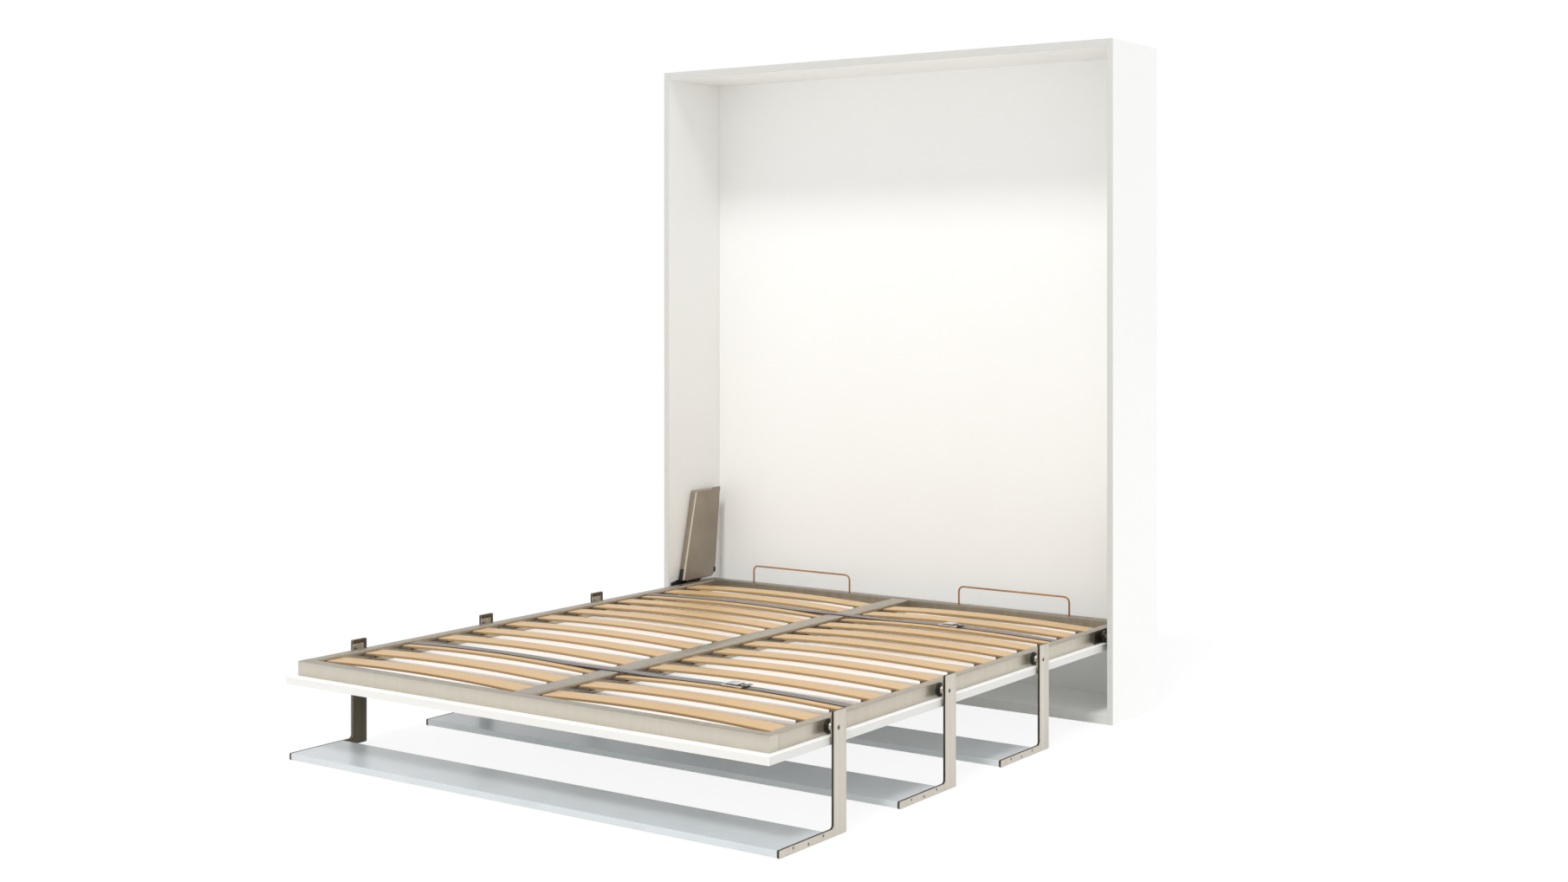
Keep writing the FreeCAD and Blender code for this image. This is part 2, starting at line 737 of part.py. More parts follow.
def cabinet_fasteners():
    """Plate screws, spring anchor bolts and the wall brackets' screws."""
    steel = []
    for index, (y, z) in enumerate(plate_screw_places(), start=1):
        steel.append(screw(f"plate_screw_{index}", ("PlateX", y, z), "X", "ScrewLong"))
    anchor = rod("anchor_shank", "BoltRadius", "PlateX - EyeX", ("EyeX", "AnchorY", "AnchorZ"))
    head_at = ("EyeX - BoltHeadDeep", "AnchorY", "AnchorZ")
    head = rod("anchor_head", "BoltHeadRadius", "BoltHeadDeep", head_at)
    steel.append(fuse("anchor_bolt", [anchor, head]))
    for index, (x, y) in enumerate(bracket_screw_places()[2:], start=1):
        top = (x, y, "CabinetHigh + WallBracketThick")
        steel.append(lid_screw(f"bracket_screw_{index}", top))
    keep(both("cabinet_fasteners", steel))


def lid_screw(name, at, length="ScrewLong"):
    """A pan-head screw that is driven downwards."""
    head = rod(name + "_head", "ScrewHead", "ScrewHeadHigh", at, "Z")
    shank_at = (at[0], at[1], f"{at[2]} - ({length})")
    shank = rod(name + "_shank", "ScrewRadius", length, shank_at, "Z")
    return fuse(name, [head, shank])


# ---------------------------------------------------------------- bed frame

def shelf_y(index):
    """Y of a shelf's pivot; shelf 1 is nearest the foot of the bed."""
    if index == 1:
        return "FarShelfY"
    if index == SHELVES:
        return "NearShelfY"
    return f"FarShelfY + (NearShelfY - FarShelfY) * {index - 1} / {SHELVES - 1}"


def side_rails():
    """Hollow side rails with the bores of the main pivot and the shelf axles."""
    long = "FrameLength - FootTube - HeadTube"
    outer = box("rail_outer", ("SideTube", long, "TubeHigh"), ("RailInX", "FootInY", "FrameLow"))
    inner_size = ("SideTube - 2 * TubeWall", f"{long} + 2 * CutOver", "TubeHigh - 2 * TubeWall")
    inner_at = ("RailInX + TubeWall", "FootInY - CutOver", "FrameLow + TubeWall")
    inner = box("rail_inner", inner_size, inner_at)
    tools = [inner]
    start = "RailX - 2 * TubeWall"
    tools.append(
        rod("rail_pin_bore", "PinRadius + TurnGap", "3 * TubeWall", (start, "PivotY", "PivotHeight"))
    )
    for index in range(1, SHELVES + 1):
        y = shelf_y(index)
        bush = rod(f"rail_bush_bore_{index}", "BushSleeve", "3 * TubeWall", (start, y, "PivotHeight"))
        stub_at = ("RailInX - TubeWall", y, "PivotHeight")
        stub = rod(f"rail_stub_bore_{index}", "StubRadius + RunGap", "3 * TubeWall", stub_at)
        tools += [bush, stub]
    tools += [
        rail_screw_bore(f"rail_screw_bore_{index}", x, y)
        for index, (x, y) in enumerate(panel_screw_places()[:3], start=1)
    ]
    keep_pair("side_rail", cut("rail_bored", outer, tools))


def panel_screw_places():
    """X and Y of the right-hand screws that hold the panel: side rail, foot and head."""
    rail = "RailInX + SideTube / 2"
    side = [(rail, f"{shelf_y(index)} + PanelScrewShift") for index in range(1, SHELVES + 1)]
    foot = [(x, "FootY + FootTube / 2") for x in ("RailX / 4", "RailX * 3 / 4")]
    head = [(x, "HeadY - HeadTube / 2") for x in ("RailX / 4", "RailX * 3 / 4")]
    return side + foot + head


def rail_screw_bore(name, x, y):
    """The clearance hole of a panel screw in a tube's lower wall."""
    return rod(name, "ScrewRadius + ScrewGap", "3 * TubeWall", (x, y, "FrameLow - TubeWall"), "Z")


def end_rail(name, y, depth, places, more):
    """A hollow cross rail over the whole width, with closed ends."""
    outer = box(name + "_outer", ("FrameWidth", depth, "TubeHigh"), ("-RailX", y, "FrameLow"))
    inner_size = ("FrameWidth - 2 * TubeWall", f"{depth} - 2 * TubeWall", "TubeHigh - 2 * TubeWall")
    inner_at = ("-RailX + TubeWall", f"{y} + TubeWall", "FrameLow + TubeWall")
    inner = box(name + "_inner", inner_size, inner_at)
    bores = [
        rail_screw_bore(f"{name}_bore_{index}", x, bore_y)
        for index, (x, bore_y) in enumerate(places, start=1)
    ]
    right = group(name + "_bores", bores + more)
    keep(cut(name, outer, [inner, right, mirror(name + "_bores_left", right)]))


def bed_frame():
    """The welded frame: side rails, foot rail, head rail and centre beam."""
    side_rails()
    end_rail("foot_rail", "FootY", "FootTube", panel_screw_places()[3:5], [])
    end_rail("head_rail", "HeadInY", "HeadTube", panel_screw_places()[5:], hoop_bores())
    size = ("BeamTube", "HeadInY - FootInY", "TubeHigh")
    outer = box("beam_outer", size, ("-BeamX", "FootInY", "FrameLow"))
    inner = box(
        "beam_inner",
        ("BeamTube - 2 * TubeWall", "HeadInY - FootInY + 2 * CutOver", "TubeHigh - 2 * TubeWall"),
        ("-BeamX + TubeWall", "FootInY - CutOver", "FrameLow + TubeWall"),
    )
    keep(cut("centre_beam", outer, [inner]))


def front_panel():
    """The panel under the frame; it closes the cabinet when the bed is up."""
    size = ("2 * PanelX", "PanelHead - PanelFoot", "PanelThick")
    panel = board("panel_board", size, ("-PanelX", "PanelFoot", "PanelLow"), "BoardRound")
    depth = "ScrewLong - TubeWall"
    pilots = [
        screw_bore(f"panel_pilot_{index}", (x, y, "FrameLow"), "Z", depth, -1)
        for index, (x, y) in enumerate(panel_screw_places(), start=1)
    ]
    right = group("panel_pilots_right", pilots)
    keep(cut("front_panel", panel, [right, mirror("panel_pilots_left", right)]))
    screws = [
        lid_screw(f"panel_screw_{index}", (x, y, "FrameLow + TubeWall"))
        for index, (x, y) in enumerate(panel_screw_places(), start=1)
    ]
    keep(both("panel_screws", screws))


def hinge_brackets():
    """Steel brackets on the side rails; each turns on its pin and carries the spring's lever."""
    size = ("BracketThick", "BracketLong", "BracketHigh")
    at = ("RailX", "PivotY - BracketLong / 2", "PivotHeight - BracketHigh / 2")
    base = box("bracket_base_plate", size, at)
    boss_long = "BossLong + BracketThick"
    boss = rod("bracket_boss", "BossRadius", boss_long, ("BossX", "PivotY", "PivotHeight"))
    eye = rod("lever_eye", "LeverEye", "BracketThick", ("LeverX", "LeverY", "LeverZ"))
    web_at = (
        "LeverX",
        "PivotY + LeverEye * sin(LeverAngle)",
        "PivotHeight - LeverEye * cos(LeverAngle)",
    )
    web = box("lever_web", ("BracketThick", "LeverArm", "2 * LeverEye"), web_at)
    place(web, web_at, "LeverAngle", RISE)
    stud_long = "BracketThick + StudLong"
    stud = rod("lever_stud", "BoltRadius", stud_long, ("LeverX", "LeverY", "LeverZ"))
    solid = fuse("bracket_solid", [base, boss, eye, web, stud])
    bore_long = "2 * BracketThick + BossLong + 2 * CutOver"
    bore_at = ("RailX - CutOver", "PivotY", "PivotHeight")
    bore = rod("bracket_bore", "PinRadius + TurnGap", bore_long, bore_at)
    keep_pair("hinge_bracket", cut("bracket_bored", solid, [bore]))


def ring(name, radius, hole, length, at):
    """A short tube along X."""
    outer = rod(name + "_outer", radius, length, at)
    start = (f"{at[0]} - CutOver",) + tuple(at[1:])
    return cut(name, outer, [rod(name + "_hole", hole, f"{length} + 2 * CutOver", start)])


def pivot_bushes():
    """Black plastic washers at the main pivots and flanged bushes at the shelf axles."""
    centre = ("PivotY", "PivotHeight")
    washer_long = "BlockX - StudX - RunGap"
    washer_at = ("StudX",) + centre
    washer = ring("main_washer", "BossRadius", "PinRadius + TurnGap", washer_long, washer_at)
    rings = [washer]
    for index in range(1, SHELVES + 1):
        y = shelf_y(index)
        flange = rod(f"bush_flange_{index}", "BushRadius", "BushFlange", ("RailX", y, "PivotHeight"))
        sleeve_at = ("RailX - 2 * TubeWall", y, "PivotHeight")
        sleeve_long = "2 * TubeWall + BushFlange / 2"
        sleeve = rod(f"bush_sleeve_{index}", "BushSleeve - TurnGap", sleeve_long, sleeve_at)
        solid = fuse(f"bush_solid_{index}", [flange, sleeve])
        hole_at = ("RailX - 3 * TubeWall", y, "PivotHeight")
        hole_long = "3 * TubeWall + BushFlange + CutOver"
        hole = rod(f"bush_hole_{index}", "JournalRadius + TurnGap", hole_long, hole_at)
        rings.append(cut(f"bush_{index}", solid, [hole]))
    keep(both("pivot_bushes", rings))


# ---------------------------------------------------------------- slatted base

def slat_y(row):
    """Y of the front edge of a slat row; row 1 is at the foot, and the last rows are closer."""
    share = f"SlatZone * {row} / {WIDE_GAPS}"
    if row > WIDE_GAPS:
        close_gaps = SLAT_ROWS - 1 - WIDE_GAPS
        share = f"(SlatZone + (1 - SlatZone) * {row - WIDE_GAPS} / {close_gaps})"
    return f"SlatFirstY + (SlatLastY - SlatFirstY) * {share}"


def slat_section():
    """The bowed section of one slat, in X and Z: two arcs about one centre."""
    sketch = doc.addObject("Sketcher::SketchObject", "slat_section")
    upright = FreeCAD.Rotation(FreeCAD.Vector(1, 0, 0), 90)
    sketch.Placement = FreeCAD.Placement(FreeCAD.Vector(), upright)
    middle = number("SlatMidX")
    radius = number("SlatRadius")
    half = number("SlatLong / 2")
    centre = FreeCAD.Vector(middle, number("SlatEndTop + SlatCrown") - radius, 0)
    ends = []
    for size in (radius, radius - number("SlatThick")):
        rise = (size ** 2 - half ** 2) ** 0.5
        right = centre + FreeCAD.Vector(half, rise, 0)
        left = centre + FreeCAD.Vector(-half, rise, 0)
        crown = centre + FreeCAD.Vector(0, size, 0)
        sketch.addGeometry(Part.Arc(right, crown, left), False)
        ends.append((right, left))
    sketch.addGeometry(Part.LineSegment(ends[0][1], ends[1][1]), False)
    sketch.addGeometry(Part.LineSegment(ends[1][0], ends[0][0]), False)
    joined = ((0, 2, 2, 1), (2, 2, 1, 2), (1, 1, 3, 1), (3, 2, 0, 1), (0, 3, 1, 3))
    for first, end, second, start in joined:
        sketch.addConstraint(Sketcher.Constraint("Coincident", first, end, second, start))
    sketch.addConstraint(Sketcher.Constraint("Vertical", 2))
    sketch.addConstraint(Sketcher.Constraint("Vertical", 3))
    fix(sketch, "DistanceX", 0, 3, "SlatMidX")
    fix(sketch, "DistanceY", 0, 3, "SlatEndTop + SlatCrown - SlatRadius")
    fix(sketch, "Radius", 0, 0, "SlatRadius")
    fix(sketch, "Radius", 1, 0, "SlatRadius - SlatThick")
    fix(sketch, "DistanceX", 0, 1, "SlatMidX + SlatLong / 2")
    fix(sketch, "DistanceX", 0, 2, "SlatMidX - SlatLong / 2")
    return sketch


def bar_from(sketch, name, length, at):
    """A sketch drawn out to a bar and moved to its place."""
    bar = doc.addObject("Part::Extrusion", name)
    bar.Base = sketch
    bar.DirMode = "Normal"
    bar.Reversed = True
    bar.Solid = True
    bind(bar, LengthFwd=length)
    return place(bar, at)


def slats():
    """Thirteen rows of two bowed beech slats, kept two rows to a node."""
    section = slat_section()
    for first in range(0, SLAT_ROWS, 2):
        rows = [row for row in (first, first + 1) if row < SLAT_ROWS]
        bars = [
            bar_from(section, f"slat_{row + 1:02d}", "SlatWide", ("0", slat_y(row), "0"))
            for row in rows
        ]
        name = "slat_rows_" + "_".join(f"{row + 1:02d}" for row in rows)
        if len(rows) == 1:
            name = f"slat_row_{first + 1:02d}"
        keep(both(name, bars))


def holder_section():
    """The U-shaped section of a slat holder, in Y and Z, from the slat's lower front edge."""
    sketch = doc.addObject("Sketcher::SketchObject", "holder_section")
    turn = FreeCAD.Rotation(FreeCAD.Vector(1, 1, 1), 120)
    sketch.Placement = FreeCAD.Placement(FreeCAD.Vector(), turn)
    low = "-HolderWall - HolderGap"
    top = "HolderHigh + " + low
    right = "SlatWide + HolderGap"
    draw(
        sketch,
        [
            (low, low),
            (right + " + HolderWall", low),
            (right + " + HolderWall", top),
            (right, top),
            (right, "-HolderGap"),
            ("-HolderGap", "-HolderGap"),
            ("-HolderGap", top),
            (low, top),
        ],
    )
    return sketch


def slat_holders():
    """Plastic holders on the rails and the beam; each slat's end lies in one."""
    section = holder_section()
    holders = []
    for row in range(SLAT_ROWS):
        for spot, x in (("rail", "RailInX - HolderLong"), ("beam", "BeamX")):
            at = (x, slat_y(row), "SlatEndTop - SlatThick")
            holder = bar_from(section, f"holder_{spot}_{row + 1:02d}", "HolderLong", at)
            holder.Reversed = False
            holders.append(holder)
    keep(both("slat_holders", holders))


# ---------------------------------------------------------------- straps and hoops

def strap(name, y):
    """One mattress strap over a slat row, in two lengths that meet the buckle; its ends are tucked
    in between the slats and the side rails."""
    wide_at = f"{y} - StrapWide / 2"
    left_size = ("RailInX + BuckleX", "StrapWide", "StrapThick")
    left = box(name + "_long_flat", left_size, ("-RailInX", wide_at, "StrapLow"))
    right_size = ("BuckleInset - SideTube", "StrapWide", "StrapThick")
    right = box(name + "_short_flat", right_size, ("BuckleX + BuckleLong", wide_at, "StrapLow"))
    tuck_size = ("StrapTuck", "StrapWide", "StrapLow + StrapThick - FrameTop + TuckDeep")
    tucks = [
        box(f"{name}_{spot}", tuck_size, (x, wide_at, "FrameTop - TuckDeep"))
        for spot, x in (("left_end", "-RailInX"), ("right_end", "RailInX - StrapTuck"))
    ]
    lengths = [fuse(name + "_long", [left, tucks[0]]), fuse(name + "_short", [right, tucks[1]])]
    keep(group(name, lengths))


def buckle(name, y):
    """A buckle: a thick frame with two windows and a bar between them."""
    size = ("BuckleLong", "BuckleWide", "BuckleThick")
    at = ("BuckleX", f"{y} - BuckleWide / 2", "StrapLow")
    outer = board(name + "_form", size, at, "BuckleThick / 4")
    window = "(BuckleLong - 3 * BuckleBar) / 2"
    window_size = (window, "BuckleWide - 2 * BuckleBar", "BuckleThick + 2 * CutOver")
    windows = []
    for index in range(2):
        window_x = f"BuckleX + BuckleBar + {index} * ({window} + BuckleBar)"
        window_at = (window_x, f"{y} - BuckleWide / 2 + BuckleBar", "StrapLow - CutOver")
        windows.append(box(f"{name}_window_{index}", window_size, window_at))
    return cut(name, outer, windows)


def straps():
    """Two webbing straps that hold the mattress, with their buckles."""
    front = "FootY + FrontStrap"
    rear = "HeadY - RearStrap"
    strap("mattress_strap_front", front)
    strap("mattress_strap_rear", rear)
    keep(group("strap_buckles", [buckle("buckle_front", front), buckle("buckle_rear", rear)]))


def hoop_bores():
    """Holes in the head rail's upper wall for the right-hand hoop's legs."""
    bores = []
    for side, x in (("inner", "HoopCentre - HoopSpan / 2"), ("outer", "HoopCentre + HoopSpan / 2")):
        at = (x, "HoopY", "FrameTop - 2 * TubeWall")
        bores.append(rod(f"hoop_bore_{side}", "HoopWire + TurnGap", "3 * TubeWall", at, "Z"))
    return bores


def pillow_hoops():
    """Wire hoops on the head rail that keep the pillows in place."""
    inner = "HoopCentre - HoopSpan / 2"
    outer = "HoopCentre + HoopSpan / 2"
    pieces = []
    leg = "HoopTop - HoopBend - FrameTop + HoopDeep"
    legs = (("inner", inner, "+ HoopBend", 90), ("outer", outer, "- HoopBend", 0))
    for name, x, corner_x, turn in legs:
        leg_at = (x, "HoopY", "FrameTop - HoopDeep")
        pieces.append(rod(f"hoop_leg_{name}", "HoopWire", leg, leg_at, "Z"))
        bend = doc.addObject("Part::Torus", f"hoop_bend_{name}")
        bind(bend, Radius1="HoopBend", Radius2="HoopWire", Angle3="90")
        upright = FreeCAD.Rotation(FreeCAD.Vector(1, 0, 0), 90)
        spin = FreeCAD.Rotation(FreeCAD.Vector(0, 0, 1), turn)
        bend.Placement = FreeCAD.Placement(FreeCAD.Vector(), upright.multiply(spin))
        place(bend, (f"{x} {corner_x}", "HoopY", "HoopTop - HoopBend"))
        pieces.append(bend)
    bar_at = (inner + " + HoopBend", "HoopY", "HoopTop")
    pieces.append(rod("hoop_bar", "HoopWire", "HoopSpan - 2 * HoopBend", bar_at))
    keep_pair("pillow_hoop", fuse("hoop_wire", pieces))


# ---------------------------------------------------------------- shelves

def arm_corners():
    """Outline of an L-shaped arm around its pivot, from the tip of its foot."""
    front, rear = "-ArmFront", "ArmWide - ArmFront"
    floor = "-PivotHeight"
    return [
        (f"{front} - FootLong", floor),
        (rear, floor),
        (rear, "ArmRise"),
        (front, "ArmRise"),
        (front, f"{floor} + FootHigh"),
        (f"{front} - FootLong", f"{floor} + FootHigh"),
    ]


def shelf_screw_places(y):
    """Y and Z of the three screws that join one arm's foot to the shelf's end."""
    tip = f"{y} - ArmFront - FootLong"
    heights = ("ShelfScrewHigh", "ShelfScrewLow", "ShelfScrewHigh")
    return [(f"{tip} + ShelfScrewEnd + {step} * ShelfScrewPitch", z) for step, z in enumerate(heights)]


def sunk_screw(name, at, head, shank, deep, long):
    """A countersunk screw whose head is flush at the given place, driven towards -X."""
    x, y, z = at
    cone = taper(name + "_head", (shank, head), deep, (f"{x} - ({deep})", y, z))
    stem = rod(name + "_stem", shank, long, (f"{x} - ({long})", y, z))
    return fuse(name, [cone, stem])


def arm_screws(index, gap, kind):
    """The pivot bolt and the three shelf screws of one arm, or their bores."""
    y = shelf_y(index)
    face = "ArmX + ArmThick"
    pieces = []
    for spot, (screw_y, screw_z) in enumerate(shelf_screw_places(y), start=1):
        name = f"shelf_{kind}_{index}_{spot}"
        radii = (f"ScrewHead + {gap}", f"ScrewRadius + {gap}")
        place_on_arm = (face, screw_y, screw_z)
        pieces.append(sunk_screw(name, place_on_arm, *radii, "ScrewHeadHigh", f"2 * ScrewLong + {gap}"))
    radii = (f"BoltHeadRadius + {gap}", f"BoltRadius + {gap}")
    pivot_at = (face, y, "PivotHeight")
    name = f"pivot_{kind}_{index}"
    pieces.append(sunk_screw(name, pivot_at, *radii, "BoltHeadDeep", f"BoltGrip + {gap}"))
    return pieces


def arm(index, bores):
    """One L-shaped arm with rounded corners and countersunk holes."""
    corners = arm_corners()
    at = ("ArmX", shelf_y(index), "PivotHeight")
    body = sheet_form(f"arm_form_{index}", corners, "ArmThick", at)
    round_corners(body, f"arm_inner_round_{index}", [corners[4]], "ArmInnerRound")
    outer = [corners[0], corners[1], corners[2], corners[3], corners[5]]
    round_corners(body, f"arm_corner_rounds_{index}", outer, "ArmCornerRound")
    keep_pair(f"shelf_arm_{index}", cut(f"arm_bored_{index}", body, [bores]))


def axle(index, bores):
    """A shelf's axle: flange at the arm, shoulder, journal, crank disc and inner stub."""
    y = shelf_y(index)
    height = "PivotHeight"
    shoulder_x = "RailX + BushFlange + RunGap"
    shoulder_long = f"FlangeX - ({shoulder_x})"
    flange_low = f"{height} - FlangeHalf"
    pieces = [
        rod(f"axle_shoulder_{index}", "ShoulderRadius", shoulder_long, (shoulder_x, y, height)),
        rod(f"axle_journal_{index}", "JournalRadius", "FlangeX - CrankX", ("CrankX", y, height)),
        rod(f"axle_disc_{index}", "CrankDisc", "CrankThick", ("CrankX", y, height)),
        rod(f"axle_stub_{index}", "StubRadius", "CrankX - RailInX", ("RailInX", y, height)),
        crank_pin(f"axle_crank_pin_{index}", y),
        rod(f"axle_flange_round_{index}", "FlangeHalf", "FlangeThick", ("FlangeX", y, flange_low)),
        box(
            f"axle_flange_{index}",
            ("FlangeThick", "2 * FlangeHalf", "2 * FlangeHalf + ArmRise / 4"),
            ("FlangeX", f"{y} - FlangeHalf", flange_low),
        ),
    ]
    solid = fuse(f"axle_solid_{index}", pieces)
    keep(both(f"shelf_axles_{index}", [cut(f"axle_{index}", solid, [bores])]))


def shelf(index):
    """One shelf with its two arms, axles and screws; it turns as one piece."""
    right = group(f"arm_bores_{index}", arm_screws(index, "ScrewGap", "bore"))
    left = mirror(f"arm_bores_left_{index}", right)
    arm(index, right)
    axle(index, right)
    y = shelf_y(index)
    size = ("2 * ArmX", "ArmFront + FootLong - ShelfSetback", "ShelfThick")
    at = ("-ArmX", f"{y} - ArmFront - FootLong", "FootHigh - ShelfThick")
    form = board(f"shelf_form_{index}", size, at, "ShelfRound")
    keep(cut(f"shelf_board_{index}", form, [right, left]))
    keep(both(f"shelf_screws_{index}", arm_screws(index, "0", "screw")))


def tie_rods():
    """Flat bars inside the side rails; they join the cranks and keep the shelves level."""
    eyes_y = ["PivotY"] + [shelf_y(index) for index in range(1, SHELVES + 1)]
    centre_z = "PivotHeight + CrankZ"
    pieces = [
        box(
            "tie_bar",
            ("TieThick", "PivotY - FarShelfY", "TieHigh"),
            ("TieX", "FarShelfY + CrankY", f"{centre_z} - TieHigh / 2"),
        )
    ]
    holes = []
    for index, y in enumerate(eyes_y):
        eye_at = ("TieX", f"{y} + CrankY", centre_z)
        pieces.append(rod(f"tie_eye_{index}", "TieEye", "TieThick", eye_at))
        hole_at = ("TieX - CutOver", f"{y} + CrankY", centre_z)
        hole_long = "TieThick + 2 * CutOver"
        holes.append(rod(f"tie_hole_{index}", "CrankPin + TurnGap", hole_long, hole_at))
    keep_pair("tie_rod", cut("tie_drilled", fuse("tie_solid", pieces), holes))


# ---------------------------------------------------------------- assembly

cabinet()
wall_brackets()
mechanism_plates()
bearing_blocks()
pivot_pins()
gas_springs()
mechanism_covers()
cover_trim()
cabinet_fasteners()
bed_frame()
front_panel()
hinge_brackets()
pivot_bushes()
slats()
slat_holders()
straps()
pillow_hoops()
for shelf_index in range(1, SHELVES + 1):
    shelf(shelf_index)
tie_rods()
doc.recompute()

# ---------------------------------------------------------------- checks and files

for thing in doc.Objects:
    if "Invalid" in thing.State or "Error" in thing.State:
        raise RuntimeError(f"{thing.Name} failed: {thing.getStatusString()}")
for thing in nodes:
    if thing.Shape.isNull() or not thing.Shape.isValid():
        raise RuntimeError(f"{thing.Label} has no valid shape")
if len(nodes) > 60:
    raise RuntimeError(f"{len(nodes)} nodes are more than the 60 allowed")

os.makedirs("parts", exist_ok=True)
for thing in nodes:
    thing.Shape.exportStep(f"parts/{thing.Label}.step")
print(len(nodes), "nodes,", sum(len(thing.Shape.Solids) for thing in nodes), "solids")
print("cabinet height", number("CabinetHigh"), "width", 2 * number("OuterX"))
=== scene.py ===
# %% [markdown]
# # An open wall bed
#
# A wall bed hangs in a shallow cabinet. Its steel frame carries two columns of
# sprung beech slats, a white panel closes the cabinet when the bed is up, and
# three shelves on L-shaped arms are its feet when it is down.
#
# The frame file already holds every part at its true size. This lesson dresses
# it: parts whose shape is right keep their mesh and get a finish, and parts that
# are seen close up are made again with rounded edges, as surfaces worked out
# with numpy. The first cell loads the frame and notes its box.

# %% Load the frame
import math

import bmesh
import bpy
import numpy as np
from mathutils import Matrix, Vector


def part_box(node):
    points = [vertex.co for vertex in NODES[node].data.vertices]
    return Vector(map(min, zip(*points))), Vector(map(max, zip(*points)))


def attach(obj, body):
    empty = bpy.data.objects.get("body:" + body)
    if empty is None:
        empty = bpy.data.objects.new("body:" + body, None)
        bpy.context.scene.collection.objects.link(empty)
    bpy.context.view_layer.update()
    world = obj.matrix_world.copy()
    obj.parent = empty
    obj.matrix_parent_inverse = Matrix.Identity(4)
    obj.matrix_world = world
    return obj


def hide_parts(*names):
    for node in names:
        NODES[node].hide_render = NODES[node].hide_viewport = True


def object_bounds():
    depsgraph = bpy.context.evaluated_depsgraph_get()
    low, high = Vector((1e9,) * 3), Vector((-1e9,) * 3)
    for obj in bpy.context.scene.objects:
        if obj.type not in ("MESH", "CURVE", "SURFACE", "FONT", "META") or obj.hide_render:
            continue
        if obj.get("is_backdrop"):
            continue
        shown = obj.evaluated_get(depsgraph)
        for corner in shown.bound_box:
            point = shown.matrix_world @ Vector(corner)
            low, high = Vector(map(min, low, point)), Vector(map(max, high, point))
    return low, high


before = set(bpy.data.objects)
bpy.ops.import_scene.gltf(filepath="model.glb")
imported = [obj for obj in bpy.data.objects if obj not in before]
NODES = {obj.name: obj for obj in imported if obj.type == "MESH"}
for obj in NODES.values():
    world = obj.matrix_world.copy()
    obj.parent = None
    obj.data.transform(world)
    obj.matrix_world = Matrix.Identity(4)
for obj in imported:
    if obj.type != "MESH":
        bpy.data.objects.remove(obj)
cad_low, cad_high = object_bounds()
print("nodes:", len(NODES), "box:", [round(b - a, 3) for a, b in zip(cad_low, cad_high)])

# %% [markdown]
# ## Measures
#
# All lengths are metres. Positions come from the frame's own boxes, so that the
# new surfaces land exactly where the plain ones stood. Only sizes that a box
# can't tell, such as how far an edge is rounded, are written down here.

# %% Measures of the parts
MM = 0.001
SLAT_WIDE = 71 * MM
SLAT_THICK = 8 * MM
SLAT_END_GAP = 6 * MM
SLAT_EDGE = 3 * MM
HOLDER_WALL = 3 * MM
TUBE_EDGE = 1.6 * MM
ARM_EDGE = 0.8 * MM

rail_low, rail_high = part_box("side_rail_right")
foot_low, foot_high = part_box("foot_rail")
beam_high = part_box("centre_beam")[1]
cabinet_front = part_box("cabinet_side_right")[0].y
SHELVES = (1, 2, 3)
SIDES = {"left": -1, "right": 1}
print("frame top at", round(rail_high.z, 4), "rail", round(rail_high.x - rail_low.x, 4), "wide")

# %% [markdown]
# ## Colour and node helpers
#
# Painters name colours as they look on a screen, and the shader wants light
# amounts. One function turns a hex value into linear light. A second one adds
# any shader node and gives back one of its outputs: its inputs are values or
# other nodes' outputs, and its settings are named as Blender names them.
# Every piece sits at the origin, so Object coordinates are places on the bed.


# %% Colour and node helpers
def paint(code):
    """Hex colour to linear light: c / 12.92 for a channel below 0.04045, else ((c + 0.055) / 1.055) ^ 2.4."""
    c = np.array([int(code[i : i + 2], 16) for i in (0, 2, 4)]) / 255
    linear = np.where(c <= 0.04045, c / 12.92, ((c + 0.055) / 1.055) ** 2.4)
    return (*linear.tolist(), 1.0)


def spans(sizes):
    """The mapping scale that makes one unit of a pattern span these sizes in metres."""
    return tuple(1 / size for size in sizes)


def add(tree, kind, inputs, out=0, **settings):
    """Adds a shader node and returns its output out. inputs maps a socket's name or number to a value
    or to another node's output."""
    node = tree.nodes.new("ShaderNode" + kind)
    for name, value in settings.items():
        setattr(node, name, value)
    for key, value in inputs.items():
        if isinstance(value, bpy.types.NodeSocket):
            tree.links.new(value, node.inputs[key])
        else:
            node.inputs[key].default_value = value
    return node.outputs[out]


def new_finish(name, **values):
    """A material with one Principled shader, its plain values set on the shader's own sockets."""
    material = bpy.data.materials.new(name)
    material.use_nodes = True
    tree = material.node_tree
    shader = tree.nodes["Principled BSDF"]
    for socket, value in values.items():
        shader.inputs[socket.replace("_", " ")].default_value = value
    return material, tree, shader


def feed(tree, shader, **outputs):
    """Links node outputs to the shader's sockets."""
    for socket, output in outputs.items():
        tree.links.new(output, shader.inputs[socket.replace("_", " ")])


FINISHES = {}
print("helpers ready")

# %% [markdown]
# ## Melamine-faced board
#
# The cabinet and the front panel are chipboard with a white melamine face. It
# is pressed between steel plates with a faint pearl texture, so it is matt with
# soft broad highlights. The real pearl is about half a millimetre across, too
# fine to show, so it is drawn at 3 mm. The cabinet's front edges are a shade
# greyer than the faces: the mask is simply the first millimetre of the board's
# depth. The front panel's face is painted whiter than the cabinet's, painted
# light that lifts the shade under the slats, and its edges darker, painted shade.

# %% White board
CLOUD = 0.5
PEARL = 3 * MM
BAND_THICK = 1 * MM


